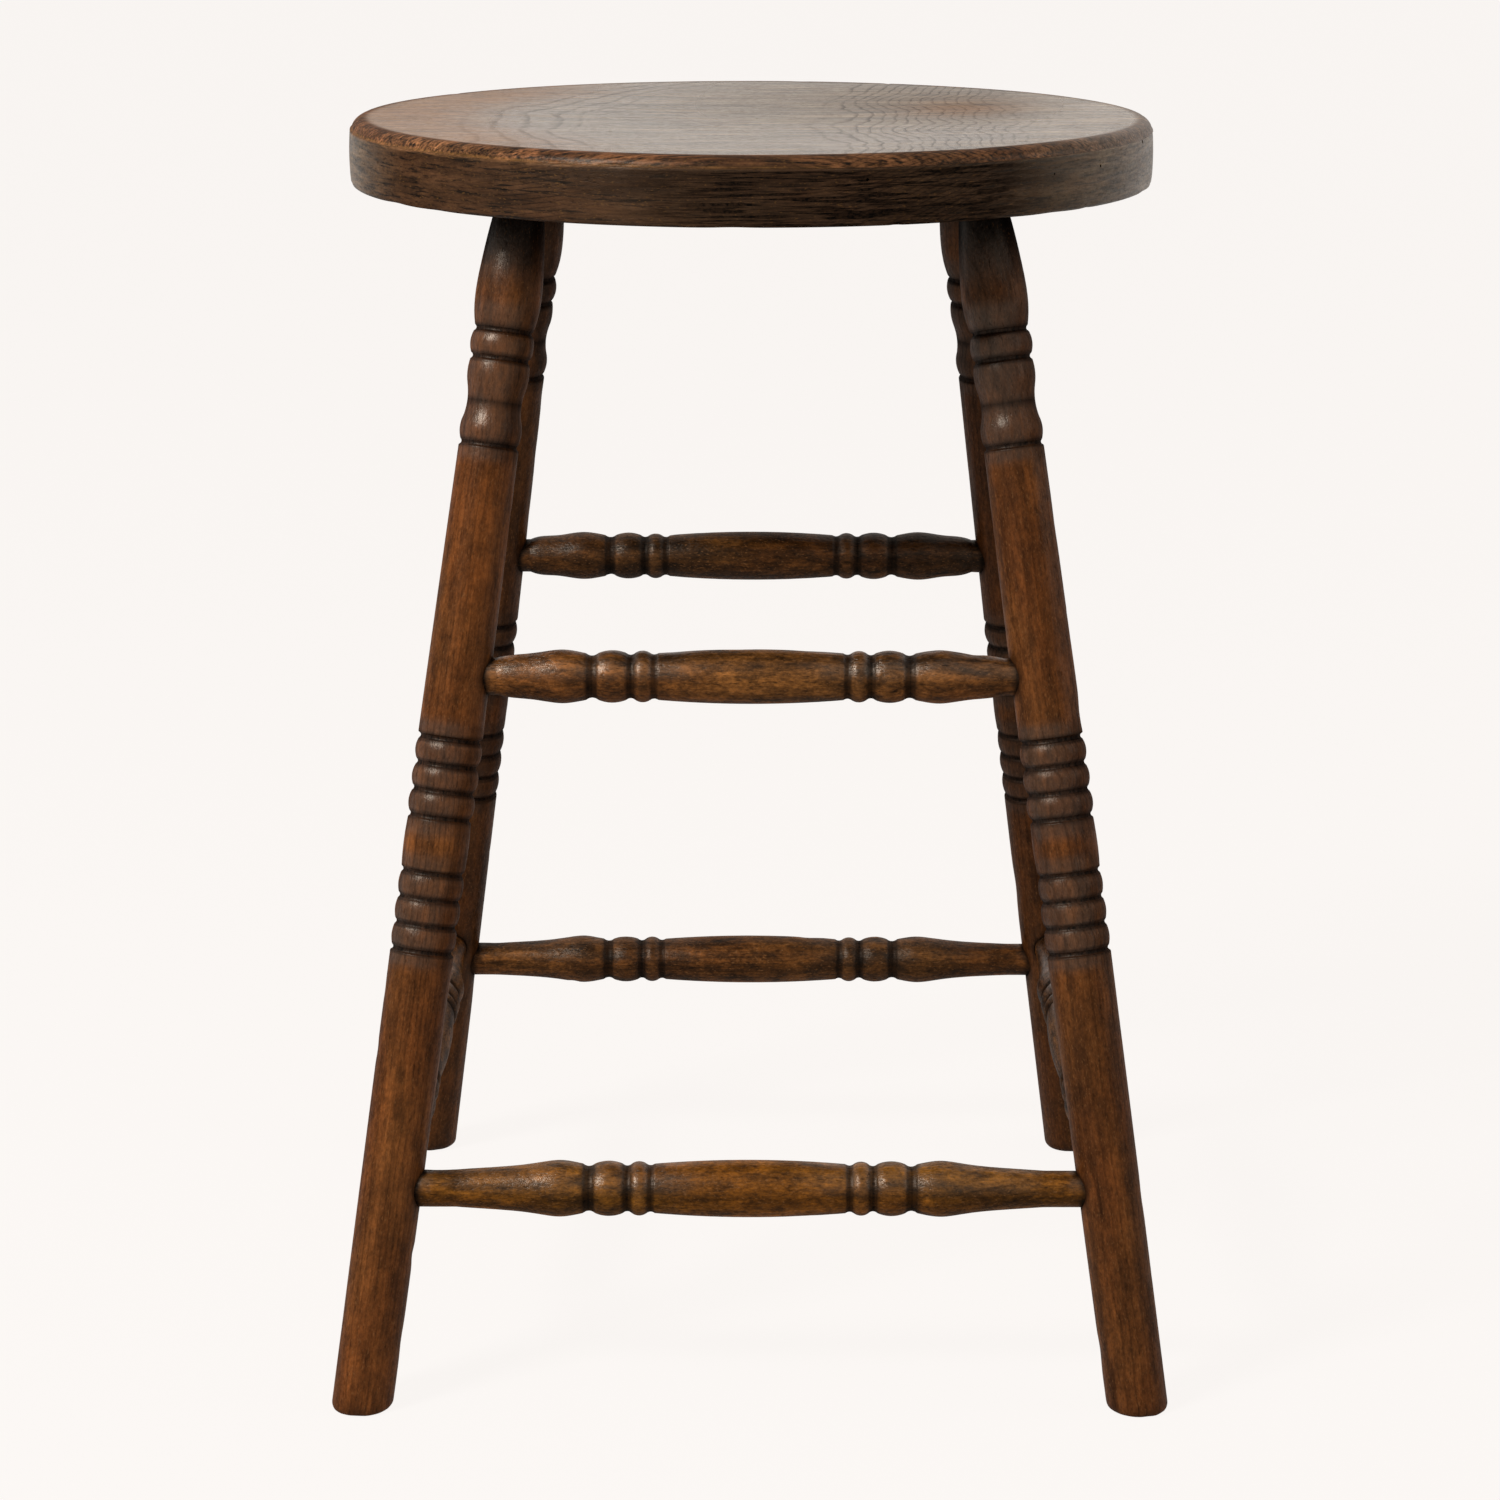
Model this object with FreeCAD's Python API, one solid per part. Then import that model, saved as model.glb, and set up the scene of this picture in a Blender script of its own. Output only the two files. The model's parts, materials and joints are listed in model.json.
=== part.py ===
import FreeCAD, Part
from collections import namedtuple
import math
import os

Vector = FreeCAD.Vector

# A farmhouse stool: a dished round seat on four splayed, turned legs that are tied by six turned rungs.
# Millimetres. The origin is on the floor under the middle of the seat, +Z is up and -Y is the front.

# Seat
seat_height = 610.0
seat_diameter = 402.0
seat_thickness = 33.3
seat_dish_depth = 2.0
seat_rim_width = 16.0
edge_round_width = 7.5
edge_round_height = 5.5
edge_ledge = 0.7
under_edge_radius = 2.5

# Stance: how far each leg's axis lies from the middle, at the seat's underside and on the floor
front_leg_top_side_reach = 111.2
back_leg_top_side_reach = 110.2
leg_top_front_reach = 96.7
front_foot_side_reach = 189.8
back_foot_side_reach = 185.4
foot_front_reach = 201.0
foot_easing = 2.5

# Joints: tenons in blind bored sockets. A rung's round end sinks into the leg up to its shoulder.
leg_tenon_radius = 11.8
wood_over_tenon = 9.0
rung_end_radius = 9.1
rung_tenon_radius = 5.0
rung_tenon_past_axis = 4.0
tenon_chamfer = 1.0
joint_clearance = 0.1
socket_end_gap = 1.0
wood_between_mortises = 1.0
cut_overrun = 30.0

# Heights where the rungs across the front and the back meet the axes of their legs
front_upper_rung_height = 352.0
front_lower_rung_height = 106.0
back_upper_rung_height = 358.4
back_lower_rung_height = 117.4

# Leg turning, from the floor up: a plain foot, two groups of rings with a band between, and a shaft
foot_radius = 15.1
ankle_radius = 15.6
lower_rings_height = 225.1
lower_ring_radius = 15.9
band_length = 24.4
band_radius = 15.9
band_end_radius = 15.4
upper_ring_radius = 16.2
ring_width = 10.0
ring_end_radius = 15.1
ring_groove_width = 2.8
ring_groove_radius = 14.3
rings_in_group = 3
shaft_radius = 15.8
shaft_top_radius = 14.7

# Leg turning, from the seat's underside down: vase, collar, ovolo, cove and bead
vase_length = 60.7
vase_crest_radius = 16.2
vase_foot_radius = 14.4
collar_width = 10.7
collar_radius = 15.6
collar_end_radius = 14.5
ovolo_width = 12.6
ovolo_radius = 15.1
leg_cove_width = 15.2
leg_cove_radius = 13.3
leg_bead_width = 11.2
leg_bead_radius = 15.2
leg_bead_end_radius = 14.2
neck_groove_width = 2.8
neck_groove_radius = 13.5

# The vase from its foot up: shares of its length and of its crest radius
vase_place_shares = (0.07, 0.25, 0.46, 0.66, 0.85)
vase_radius_shares = (0.946, 1.0, 0.961, 0.887, 0.800)

# Rung turning, from the middle out: barrel, groove, ring, cove, ball, neck, vase and shank
barrel_radius = 13.1
rung_bead_end_radius = 11.3
rung_groove_width = 4.0
rung_groove_radius = 10.6
rung_ring_width = 7.2
rung_ring_radius = 12.4
rung_cove_width = 4.4
rung_cove_radius = 10.4
rung_ball_width = 13.6
rung_ball_radius = 12.6
rung_neck_width = 5.8
rung_neck_radius = 10.2
rung_vase_length = 38.0
rung_vase_radius = 12.9
shank_taper_length = 24.0
least_shank_length = 2.6
shank_clear_of_leg = 3.0

# The rung's vase from its neck out: shares of its length and of its crest radius
rung_vase_place_shares = (0.12, 0.29, 0.48, 0.68, 1.0)
rung_vase_radius_shares = (0.945, 1.0, 0.952, 0.866, 0.775)

# How long each rung's barrel is, where the rung has room for it
front_upper_barrel_length = 89.6
front_lower_barrel_length = 93.0
back_upper_barrel_length = 95.6
back_lower_barrel_length = 96.0
side_barrel_length = 93.0

# How fat each rung's turning is against the radii above
front_upper_girth_share = 1.015
front_lower_girth_share = 1.07
back_upper_girth_share = 1.01
back_lower_girth_share = 1.03
side_girth_share = 1.04

# Where things lie: a side and a row name one leg
left, right = -1, 1
front, back = -1, 1
origin = Vector(0, 0, 0)
up = Vector(0, 0, 1)
underside_height = seat_height - seat_thickness

# A side rung's tenon lies just above the lower rung's tenon in the same leg.
side_rung_rise = 2 * (rung_tenon_radius + joint_clearance) + wood_between_mortises
side_rung_front_height = front_lower_rung_height + side_rung_rise
side_rung_back_height = back_lower_rung_height + side_rung_rise

# The round ends of two rungs in one leg stop short of its axis, so that neither meets the other.
rung_shoulder_from_axis = rung_end_radius + 2 * joint_clearance + wood_between_mortises

# A rung's two ends are each the leg's side and row, and the height on the leg's axis.
Rung = namedtuple("Rung", "here there barrel_length girth_share")


def cross_rung(row, height, barrel_length, girth_share):
    """A rung between the two legs of a row."""
    return Rung((left, row, height), (right, row, height), barrel_length, girth_share)


def side_rung(side):
    """A rung between the front leg and the back leg of a side."""
    here = (side, front, side_rung_front_height)
    there = (side, back, side_rung_back_height)
    return Rung(here, there, side_barrel_length, side_girth_share)


rungs = {
    "front_upper_rung": cross_rung(
        front, front_upper_rung_height, front_upper_barrel_length, front_upper_girth_share),
    "front_lower_rung": cross_rung(
        front, front_lower_rung_height, front_lower_barrel_length, front_lower_girth_share),
    "back_upper_rung": cross_rung(
        back, back_upper_rung_height, back_upper_barrel_length, back_upper_girth_share),
    "back_lower_rung": cross_rung(
        back, back_lower_rung_height, back_lower_barrel_length, back_lower_girth_share),
    "left_side_rung": side_rung(left),
    "right_side_rung": side_rung(right),
}

# The beads of a rung from its barrel out, each as its width and the radius of its crest
rung_beads = (
    (rung_groove_width, rung_groove_radius),
    (rung_ring_width, rung_ring_radius),
    (rung_cove_width, rung_cove_radius),
    (rung_ball_width, rung_ball_radius),
    (rung_neck_width, rung_neck_radius),
)
rung_beads_length = sum(width for width, crest_radius in rung_beads)


class Outline:
    """The outline of a turned solid, walked up its axis as places on the axis and radii."""

    def __init__(self, place, radius):
        self.bottom = Vector(0, 0, place)
        self.place = place
        self.radius = radius
        self.edges = [Part.makeLine(self.bottom, self.here())]

    def here(self):
        return Vector(self.radius, 0, self.place)

    def line(self, place, radius):
        """A straight stretch from here."""
        start = self.here()
        self.place = place
        self.radius = radius
        self.edges.append(Part.makeLine(start, self.here()))

    def arc(self, middle, place, radius):
        """An arc from here through a middle point."""
        start = self.here()
        self.place = place
        self.radius = radius
        self.edges.append(Part.Arc(start, middle, self.here()).toShape())

    def swell(self, width, crest_radius, end_radius):
        """A bead, or a cove or groove where the crest lies below the ends."""
        middle = Vector(crest_radius, 0, self.place + width / 2)
        self.arc(middle, self.place + width, end_radius)

    def corner(self, centre, place, radius):
        """A quarter round from here, about a centre."""
        end = Vector(radius, 0, place)
        spokes = (self.here() - centre) + (end - centre)
        self.arc(centre + spokes * math.sqrt(1 / 2), place, radius)

    def curve(self, places, radii):
        """A smooth curve from here through the given places and radii."""
        points = [self.here()]
        for place, radius in zip(places, radii):
            points.append(Vector(radius, 0, place))
        spline = Part.BSplineCurve()
        spline.interpolate(points)
        self.edges.append(spline.toShape())
        self.place = places[-1]
        self.radius = radii[-1]

    def turned(self):
        """The solid that the outline makes as it turns about Z."""
        top = Vector(0, 0, self.place)
        closing = [Part.makeLine(top, self.bottom)]
        if self.radius > 0:
            closing.insert(0, Part.makeLine(self.here(), top))
        face = Part.Face(Part.Wire(self.edges + closing))
        return face.revolve(origin, up, 360)


def laid(shape, start, end):
    """A shape drawn on Z, moved so that its origin is at start and its Z points to end."""
    moved = shape.copy()
    moved.Placement = FreeCAD.Placement(start, FreeCAD.Rotation(up, end - start))
    return moved


def bore(tenon_radius, bottom, mouth):
    """The cutter for a round socket, from its bottom out past its mouth."""
    length = (mouth - bottom).Length + cut_overrun
    cutter = Part.makeCylinder(tenon_radius + joint_clearance, length)
    return laid(cutter, bottom, mouth)


def foot_point(side, row):
    """Where a leg's axis meets the floor."""
    side_reach = front_foot_side_reach if row == front else back_foot_side_reach
    return Vector(side * side_reach, row * foot_front_reach, 0)


def seat_point(side, row):
    """Where a leg's axis meets the seat's underside."""
    side_reach = front_leg_top_side_reach if row == front else back_leg_top_side_reach
    return Vector(side * side_reach, row * leg_top_front_reach, underside_height)


def leg_point(side, row, height):
    """Where a leg's axis is at a height above the floor."""
    foot = foot_point(side, row)
    return foot + (seat_point(side, row) - foot) * (height / underside_height)


def leg_tilt(side, row):
    """How far a leg leans from upright."""
    return (seat_point(side, row) - foot_point(side, row)).getAngle(up)


def leg_tenon_length(tilt):
    """How deep the leg goes into the seat, with wood left over the high edge of its slanting end."""
    rise = seat_thickness - wood_over_tenon - leg_tenon_radius * math.sin(tilt)
    return rise / math.cos(tilt)


def ring_group(outline, crest_radius, end_radius):
    """Adds rings that are parted by narrow grooves, with a groove at each end of the group."""
    for _ in range(rings_in_group):
        outline.swell(ring_groove_width, ring_groove_radius, ring_end_radius)
        outline.swell(ring_width, crest_radius, ring_end_radius)
    outline.swell(ring_groove_width, ring_groove_radius, end_radius)


def leg_outline(length, tilt):
    """A leg from below the floor to the end of its tenon. Its length runs to the seat's underside."""
    outline = Outline(-cut_overrun, foot_radius)
    outline.line(0, foot_radius)
    outline.line(lower_rings_height, ankle_radius)
    ring_group(outline, lower_ring_radius, band_end_radius)
    outline.swell(band_length, band_radius, band_end_radius)
    ring_group(outline, upper_ring_radius, shaft_radius)

    # The turning above the shaft hangs from the seat, so a taller stool has a longer shaft.
    vase_foot = length - vase_length
    collar_foot = vase_foot - collar_width - 2 * neck_groove_width
    bead_foot = collar_foot - ovolo_width - leg_cove_width - leg_bead_width
    outline.line(bead_foot - neck_groove_width, shaft_top_radius)
    outline.swell(neck_groove_width, neck_groove_radius, leg_bead_end_radius)
    outline.swell(leg_bead_width, leg_bead_radius, leg_bead_end_radius)
    outline.swell(leg_cove_width, leg_cove_radius, leg_bead_end_radius)
    outline.swell(ovolo_width, ovolo_radius, collar_end_radius)
    outline.swell(neck_groove_width, neck_groove_radius, collar_end_radius)
    outline.swell(collar_width, collar_radius, collar_end_radius)
    outline.swell(neck_groove_width, neck_groove_radius, vase_foot_radius)

    # The vase thins to the tenon just below the slanting mouth of its socket.
    tenon_start = length - leg_tenon_radius * math.tan(tilt) - joint_clearance
    places = [vase_foot + vase_length * share for share in vase_place_shares]
    radii = [vase_crest_radius * share for share in vase_radius_shares]
    outline.curve(places + [tenon_start], radii + [leg_tenon_radius])
    tenon_end = length + leg_tenon_length(tilt)
    outline.line(tenon_end - tenon_chamfer, leg_tenon_radius)
    outline.line(tenon_end, leg_tenon_radius - tenon_chamfer)
    return outline


def sawn_at_floor(leg):
    """A leg with its foot sawn off level with the floor and the rim of the cut eased."""
    reach = seat_diameter + cut_overrun
    ground = Part.makeBox(2 * reach, 2 * reach, reach, Vector(-reach, -reach, -reach))
    sawn = leg.cut(ground)
    rim = [edge for edge in sawn.Edges if edge.BoundBox.ZMax < joint_clearance]
    return sawn.makeFillet(foot_easing, rim)


def make_leg(side, row):
    """A leg in its place, with a mortise for each rung that ends in it."""
    foot = foot_point(side, row)
    top = seat_point(side, row)
    outline = leg_outline((top - foot).Length, leg_tilt(side, row))
    leg = sawn_at_floor(laid(outline.turned(), foot, top))
    for rung in rungs.values():
        for here, there in ((rung.here, rung.there), (rung.there, rung.here)):
            if here[:2] == (side, row):
                leg = leg.cut(mortise(leg_point(*here), leg_point(*there)))
    return leg


def mortise(here, there):
    """The stepped bore at a point on a leg's axis, for the end of a rung that comes from there."""
    inward = (there - here).normalize()
    mouth = here + inward * shaft_radius
    tenon_bottom = here - inward * (rung_tenon_past_axis + socket_end_gap)
    shoulder_bottom = here + inward * (rung_shoulder_from_axis - joint_clearance)
    tenon_bore = bore(rung_tenon_radius, tenon_bottom, mouth)
    return tenon_bore.fuse(bore(rung_end_radius, shoulder_bottom, mouth))


def half_span(rung):
    """How far it is from the middle of a rung to the axis of the leg at its end."""
    return (leg_point(*rung.there) - leg_point(*rung.here)).Length / 2


def round_end_place(rung):
    """How far from the middle of a rung its plain round end starts, clear of the leg."""
    return half_span(rung) - shaft_radius - shank_clear_of_leg


def barrel_half_length(rung):
    """Half the barrel's length, cut down where the beads and vases leave less."""
    room = round_end_place(rung) - least_shank_length - rung_vase_length - rung_beads_length
    return min(rung.barrel_length / 2, room)


def shank_place(rung):
    """How far from the middle of a rung the taper behind its vase has come down to the plain shank."""
    vase_end = barrel_half_length(rung) + rung_beads_length + rung_vase_length
    return min(vase_end + shank_taper_length, round_end_place(rung))


def rung_outline(rung):
    """A rung from one end to the other, with the same turning on both sides of its middle."""
    girth = rung.girth_share
    bead_end_radius = rung_bead_end_radius * girth
    tenon_end = half_span(rung) + rung_tenon_past_axis
    shoulder = half_span(rung) - rung_shoulder_from_axis
    shank_start = shank_place(rung)
    barrel_end = barrel_half_length(rung)
    vase_start = barrel_end + rung_beads_length
    places = [vase_start + rung_vase_length * share for share in rung_vase_place_shares]
    radii = [rung_vase_radius * share * girth for share in rung_vase_radius_shares]

    outline = Outline(-tenon_end, rung_tenon_radius - tenon_chamfer)
    outline.line(tenon_chamfer - tenon_end, rung_tenon_radius)
    outline.line(-shoulder, rung_tenon_radius)
    outline.line(-shoulder, rung_end_radius)
    outline.line(-shank_start, rung_end_radius)
    mirrored_places = [-place for place in reversed(places)]
    outline.curve(mirrored_places + [-vase_start], radii[::-1] + [bead_end_radius])
    for width, crest_radius in reversed(rung_beads):
        outline.swell(width, crest_radius * girth, bead_end_radius)
    outline.swell(2 * barrel_end, barrel_radius * girth, bead_end_radius)
    for width, crest_radius in rung_beads:
        outline.swell(width, crest_radius * girth, bead_end_radius)
    outline.curve(places + [shank_start], radii + [rung_end_radius])
    outline.line(shoulder, rung_end_radius)
    outline.line(shoulder, rung_tenon_radius)
    outline.line(tenon_end - tenon_chamfer, rung_tenon_radius)
    outline.line(tenon_end, rung_tenon_radius - tenon_chamfer)
    return outline


def make_rung(rung):
    """A rung in its place between two legs."""
    here = leg_point(*rung.here)
    there = leg_point(*rung.there)
    return laid(rung_outline(rung).turned(), (here + there) / 2, there)


def seat_outline():
    """Half a cut through the seat: eased below, upright at the side, rounded and dished on top."""
    side_radius = seat_diameter / 2
    flat_radius = side_radius - under_edge_radius
    rim_radius = side_radius - edge_ledge - edge_round_width
    dish_radius = rim_radius - seat_rim_width
    upright_start = underside_height + under_edge_radius
    ledge_height = seat_height - edge_round_height
    dish_bottom = seat_height - seat_dish_depth

    outline = Outline(underside_height, flat_radius)
    outline.corner(Vector(flat_radius, 0, upright_start), upright_start, side_radius)
    outline.line(ledge_height, side_radius)
    outline.line(ledge_height, side_radius - edge_ledge)
    outline.corner(Vector(rim_radius, 0, ledge_height), seat_height, rim_radius)
    outline.line(seat_height, dish_radius)

    # The dish is part of a large ball, so its arc is level in the middle of the seat.
    ball_radius = (dish_radius**2 + seat_dish_depth**2) / (2 * seat_dish_depth)
    middle_radius = dish_radius / 2
    middle_rise = ball_radius - math.sqrt(ball_radius**2 - middle_radius**2)
    outline.arc(Vector(middle_radius, 0, dish_bottom + middle_rise), dish_bottom, 0)
    return outline


def make_seat():
    """The seat board, bored from below for the four legs."""
    seat = seat_outline().turned()
    for side in (left, right):
        for row in (front, back):
            mouth = seat_point(side, row)
            along_leg = (mouth - foot_point(side, row)).normalize()
            depth = leg_tenon_length(leg_tilt(side, row)) + socket_end_gap
            seat = seat.cut(bore(leg_tenon_radius, mouth + along_leg * depth, mouth))
    return seat


nodes = {
    "seat": make_seat(),
    "front_left_leg": make_leg(left, front),
    "front_right_leg": make_leg(right, front),
    "back_left_leg": make_leg(left, back),
    "back_right_leg": make_leg(right, back),
}
for name, rung in rungs.items():
    nodes[name] = make_rung(rung)

os.makedirs("parts", exist_ok=True)
for name, shape in nodes.items():
    shape.exportStep("parts/" + name + ".step")
    print(name, "solids", len(shape.Solids), "volume", round(shape.Volume), "valid", shape.isValid())
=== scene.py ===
# %% [markdown]
# # Farmhouse stool
# The stool is eleven pieces of old waxed wood: a round seat board, four turned legs and six turned
# rungs. The solid model already holds their true sizes, so this script reads every size and place
# from it. The other way would be to type the sizes again here, and then two files could disagree.

# %% Load the solid model
import json
import math
import random

import bpy
import numpy as np
from mathutils import Matrix, Vector, noise


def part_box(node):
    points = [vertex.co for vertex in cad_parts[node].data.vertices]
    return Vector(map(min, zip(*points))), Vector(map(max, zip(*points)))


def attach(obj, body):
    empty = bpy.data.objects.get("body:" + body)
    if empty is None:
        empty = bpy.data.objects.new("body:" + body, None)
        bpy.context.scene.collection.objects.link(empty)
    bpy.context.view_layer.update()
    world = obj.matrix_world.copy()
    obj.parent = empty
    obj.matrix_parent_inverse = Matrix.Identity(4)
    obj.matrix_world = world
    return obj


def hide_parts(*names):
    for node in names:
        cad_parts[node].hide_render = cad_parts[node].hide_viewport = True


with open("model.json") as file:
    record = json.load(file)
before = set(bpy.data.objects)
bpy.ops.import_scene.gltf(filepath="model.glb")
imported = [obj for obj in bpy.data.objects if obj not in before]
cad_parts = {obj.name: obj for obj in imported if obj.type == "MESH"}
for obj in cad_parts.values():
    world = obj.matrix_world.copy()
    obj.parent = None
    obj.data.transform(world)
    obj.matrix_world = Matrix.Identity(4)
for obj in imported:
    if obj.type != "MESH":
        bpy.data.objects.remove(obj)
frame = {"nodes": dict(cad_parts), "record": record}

bpy.context.view_layer.update()

# %% [markdown]
# ## The camera
# The stool was photographed from a little above its seat, through a long lens, so its front and
# back legs nearly line up. Such a view could be set by eye. Here it comes from fitting the known
# circle of the seat and the straight legs to the picture, which gives one focal length, height and
# tilt. The picture leans by a tenth of a degree, and so does the camera.

# %% Camera
image_side = 1500
focal_pixels = 4447.6
camera_distance = 2.2423
camera_height = 0.8216
camera_pitch = 0.236
camera_roll = 0.0015
sideways_pixels = 0.8

camera = bpy.data.objects.new("camera", bpy.data.cameras.new("camera"))
camera.data.sensor_width = 36.0
camera.data.lens = focal_pixels / image_side * camera.data.sensor_width
camera.data.shift_x = -sideways_pixels / image_side
turn = Matrix.Rotation(math.pi / 2 - camera_pitch, 3, "X") @ Matrix.Rotation(camera_roll, 3, "Z")
camera.rotation_euler = turn.to_euler()
camera.location = (0.0, -camera_distance, camera_height)
bpy.context.scene.collection.objects.link(camera)
bpy.context.scene.camera = camera
print("lens", round(camera.data.lens, 2), "mm")

# %% [markdown]
# ## Reading a turned piece
# A turned piece is fully known by its axis and by its radius at each place along that axis. In the
# solid's mesh each place of the outline is a ring of corners. A ring has many corners at one place
# and one radius, while the corners of a bored mortise are scattered, so counting tells them apart.

# %% Read the outline of a turned solid
rounding = 1e5
arris_count = 60


def corners_of(node):
    """Every corner of a solid's mesh, in metres."""
    mesh = frame["nodes"][node].data
    flat = np.zeros(len(mesh.vertices) * 3)
    mesh.vertices.foreach_get("co", flat)
    return flat.reshape(-1, 3)


def full_rings(corners, start, axis, least_count=16):
    """(place, radius) of each full ring about an axis, and whether the outline has an arris there.

    Corners are told apart to a hundredth of a millimetre. At an arris both faces bring their own.
    """
    places = (corners - start) @ axis
    radii = np.linalg.norm(corners - start - np.outer(places, axis), axis=1)
    keys = np.round(np.stack([places, radii], 1) * rounding)
    rings, counts = np.unique(keys, axis=0, return_counts=True)
    kept = counts >= least_count
    return rings[kept] / rounding, counts[kept] > arris_count


print("the seat's mesh has", len(corners_of("seat")), "corners")

# %% [markdown]
# A rung's axis runs between the middles of its two flat ends. A leg's foot was sawn on a slant, so
# the middle of its sole is taken from the record instead, where the four feet are written as mounts.

# %% Axes of the turned pieces
feet = {m["name"]: np.array(m["pos_m"]) for m in frame["record"]["mounts"]}
reading_way = np.array([1.0, 1.0, 5.0])


def flat_end(node, way, least_facing=0.995, thickness=0.002):
    """The middle of the flat end that lies farthest along a direction."""
    mesh = frame["nodes"][node].data
    faces = [f for f in mesh.polygons if Vector(f.normal).dot(Vector(way)) > least_facing]
    farthest = max(f.center.dot(Vector(way)) for f in faces)
    faces = [f for f in faces if f.center.dot(Vector(way)) > farthest - thickness]
    rim = np.array([mesh.vertices[i].co for f in faces for i in f.vertices])
    return np.unique(np.round(rim, 6), axis=0).mean(0)


def axis_of(node):
    """Where a turned piece's axis starts and ends: upwards, or else to the right or to the back."""
    corners = corners_of(node)
    long_way = np.linalg.svd(corners - corners.mean(0), full_matrices=False)[2][0]
    long_way *= np.sign(long_way @ reading_way)
    start = feet[node.replace("leg", "foot")] if node.endswith("leg") else flat_end(node, -long_way)
    return start, flat_end(node, long_way)


legs = [n for n in frame["nodes"] if n.endswith("leg")]
rungs = [n for n in frame["nodes"] if n.endswith("rung")]
axes = {node: axis_of(node) for node in legs + rungs}
for node, (start, end) in axes.items():
    print(node, "length", round(float(np.linalg.norm(end - start)) * 1000, 1), "mm")

# %% [markdown]
# The rings lie close together in the grooves and far apart on the beads. Joined by straight lines
# they would show as facets in the highlights. A smooth curve through them, broken only where the
# solid has an arris, gives back the arcs. A light blur along the outline then softens the arrises,
# as a century of dusters and hands has done.

# %% Smooth outline
def curve_through(points, step=0.0002):
    """Points along a smooth curve through the given points."""
    if len(points) < 3:
        count = max(2, int(np.linalg.norm(points[-1] - points[0]) / step))
        return points[0] + np.linspace(0, 1, count)[:, None] * (points[-1] - points[0])
    spans = np.linalg.norm(np.diff(points, axis=0), axis=1)
    at = np.concatenate([[0], np.cumsum(spans)])
    slopes = np.gradient(points, at, axis=0, edge_order=2)
    out = [points[:1]]
    for i, span in enumerate(spans):
        t = np.linspace(0, 1, max(2, int(span / step)))[1:, None]
        hermite = ((2 * t**3 - 3 * t**2 + 1) * points[i] + (t**3 - 2 * t**2 + t) * slopes[i] * span
                   + (3 * t**2 - 2 * t**3) * points[i + 1] + (t**3 - t**2) * slopes[i + 1] * span)
        out.append(hermite)
    return np.concatenate(out)


def blurred(values, spacing, width, widths_out=3):
    """A line of values, blurred over a width and held at both its ends."""
    reach = max(1, int(widths_out * width / spacing))
    kernel = np.exp(-0.5 * (np.arange(-reach, reach + 1) * spacing / width) ** 2)
    return np.convolve(np.pad(values, reach, mode="edge"), kernel / kernel.sum(), mode="valid")


class TurnedOutline:
    """A turned piece's outline as a radius for each place along its axis."""

    spacing = 0.00005
    arris_softness = 0.00022
    bend_softness = 0.0003
    narrow_reach, wide_reach = 0.0028, 0.010

    def __init__(self, node):
        start, end = axes[node]
        self.length = float(np.linalg.norm(end - start))
        rings, arris = full_rings(corners_of(node), start, (end - start) / self.length)
        for i in range(1, len(rings) - 1):
            # At a shoulder two rings share a place, and the one that carries on comes first
            if rings[i, 0] == rings[i + 1, 0]:
                pair = rings[i:i + 2]
                rings[i:i + 2] = pair[np.argsort(np.abs(pair[:, 1] - rings[i - 1, 1]))]
        cuts = [0] + [i for i in range(1, len(rings) - 1) if arris[i]] + [len(rings) - 1]
        line = np.concatenate([curve_through(rings[a:b + 1]) for a, b in zip(cuts, cuts[1:])])
        self.places = np.arange(rings[0, 0], self.length, self.spacing)
        crisp = np.interp(self.places, line[:, 0], line[:, 1])
        self.radii = blurred(crisp, self.spacing, self.arris_softness)
        self.narrow_hollow = self.depth_below_neighbours(self.narrow_reach)
        self.wide_hollow = self.depth_below_neighbours(self.wide_reach)

    def radius(self, place):
        """The radius at a place along the axis, or at many."""
        return np.interp(place, self.places, self.radii)

    def depth_below_neighbours(self, reach, stride=4):
        """How deep each place lies between higher ones on both its sides, which is where dirt stays."""
        span = int(reach / self.spacing)
        padded = np.pad(self.radii, span, mode="edge")
        spots = range(0, len(self.radii), stride)
        before = np.array([padded[i:i + span + 1:stride].max() for i in spots])
        after = np.array([padded[i + span:i + 2 * span + 1:stride].max() for i in spots])
        level = np.interp(np.arange(len(self.radii)), spots, np.minimum(before, after))
        return level - self.radii

    def rows(self, longest=0.0028, turn=math.radians(10)):
        """Places for the rows of a mesh: close where the outline bends and far apart where it is straight."""
        slope = np.gradient(self.radii, self.spacing)
        bend = np.abs(np.gradient(np.arctan(slope), self.spacing))
        density = np.sqrt(1 + slope**2) / longest + blurred(bend, self.spacing, self.bend_softness) / turn
        count_at = np.concatenate([[0], np.cumsum((density[1:] + density[:-1]) / 2 * self.spacing)])
        return np.interp(np.linspace(0, count_at[-1], int(count_at[-1]) + 2), count_at, self.places)


outlines = {node: TurnedOutline(node) for node in legs + rungs}
for node, outline in outlines.items():
    print(node, "rows", len(outline.rows()), "thickest", round(outline.radii.max() * 1000, 2), "mm")

# %% [markdown]
# ## A piece in its own grain
# Every piece was cut from a tree, and its grain runs along it. So each new piece gets a frame of its
# tree, with Z along the trunk, and every corner of its mesh carries its place in that frame as the
# attribute grain. One wood material can then draw growth rings about Z, and each piece shows another
# part of a tree. Turning the objects themselves would do that too, but it would tilt their boxes.

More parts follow.
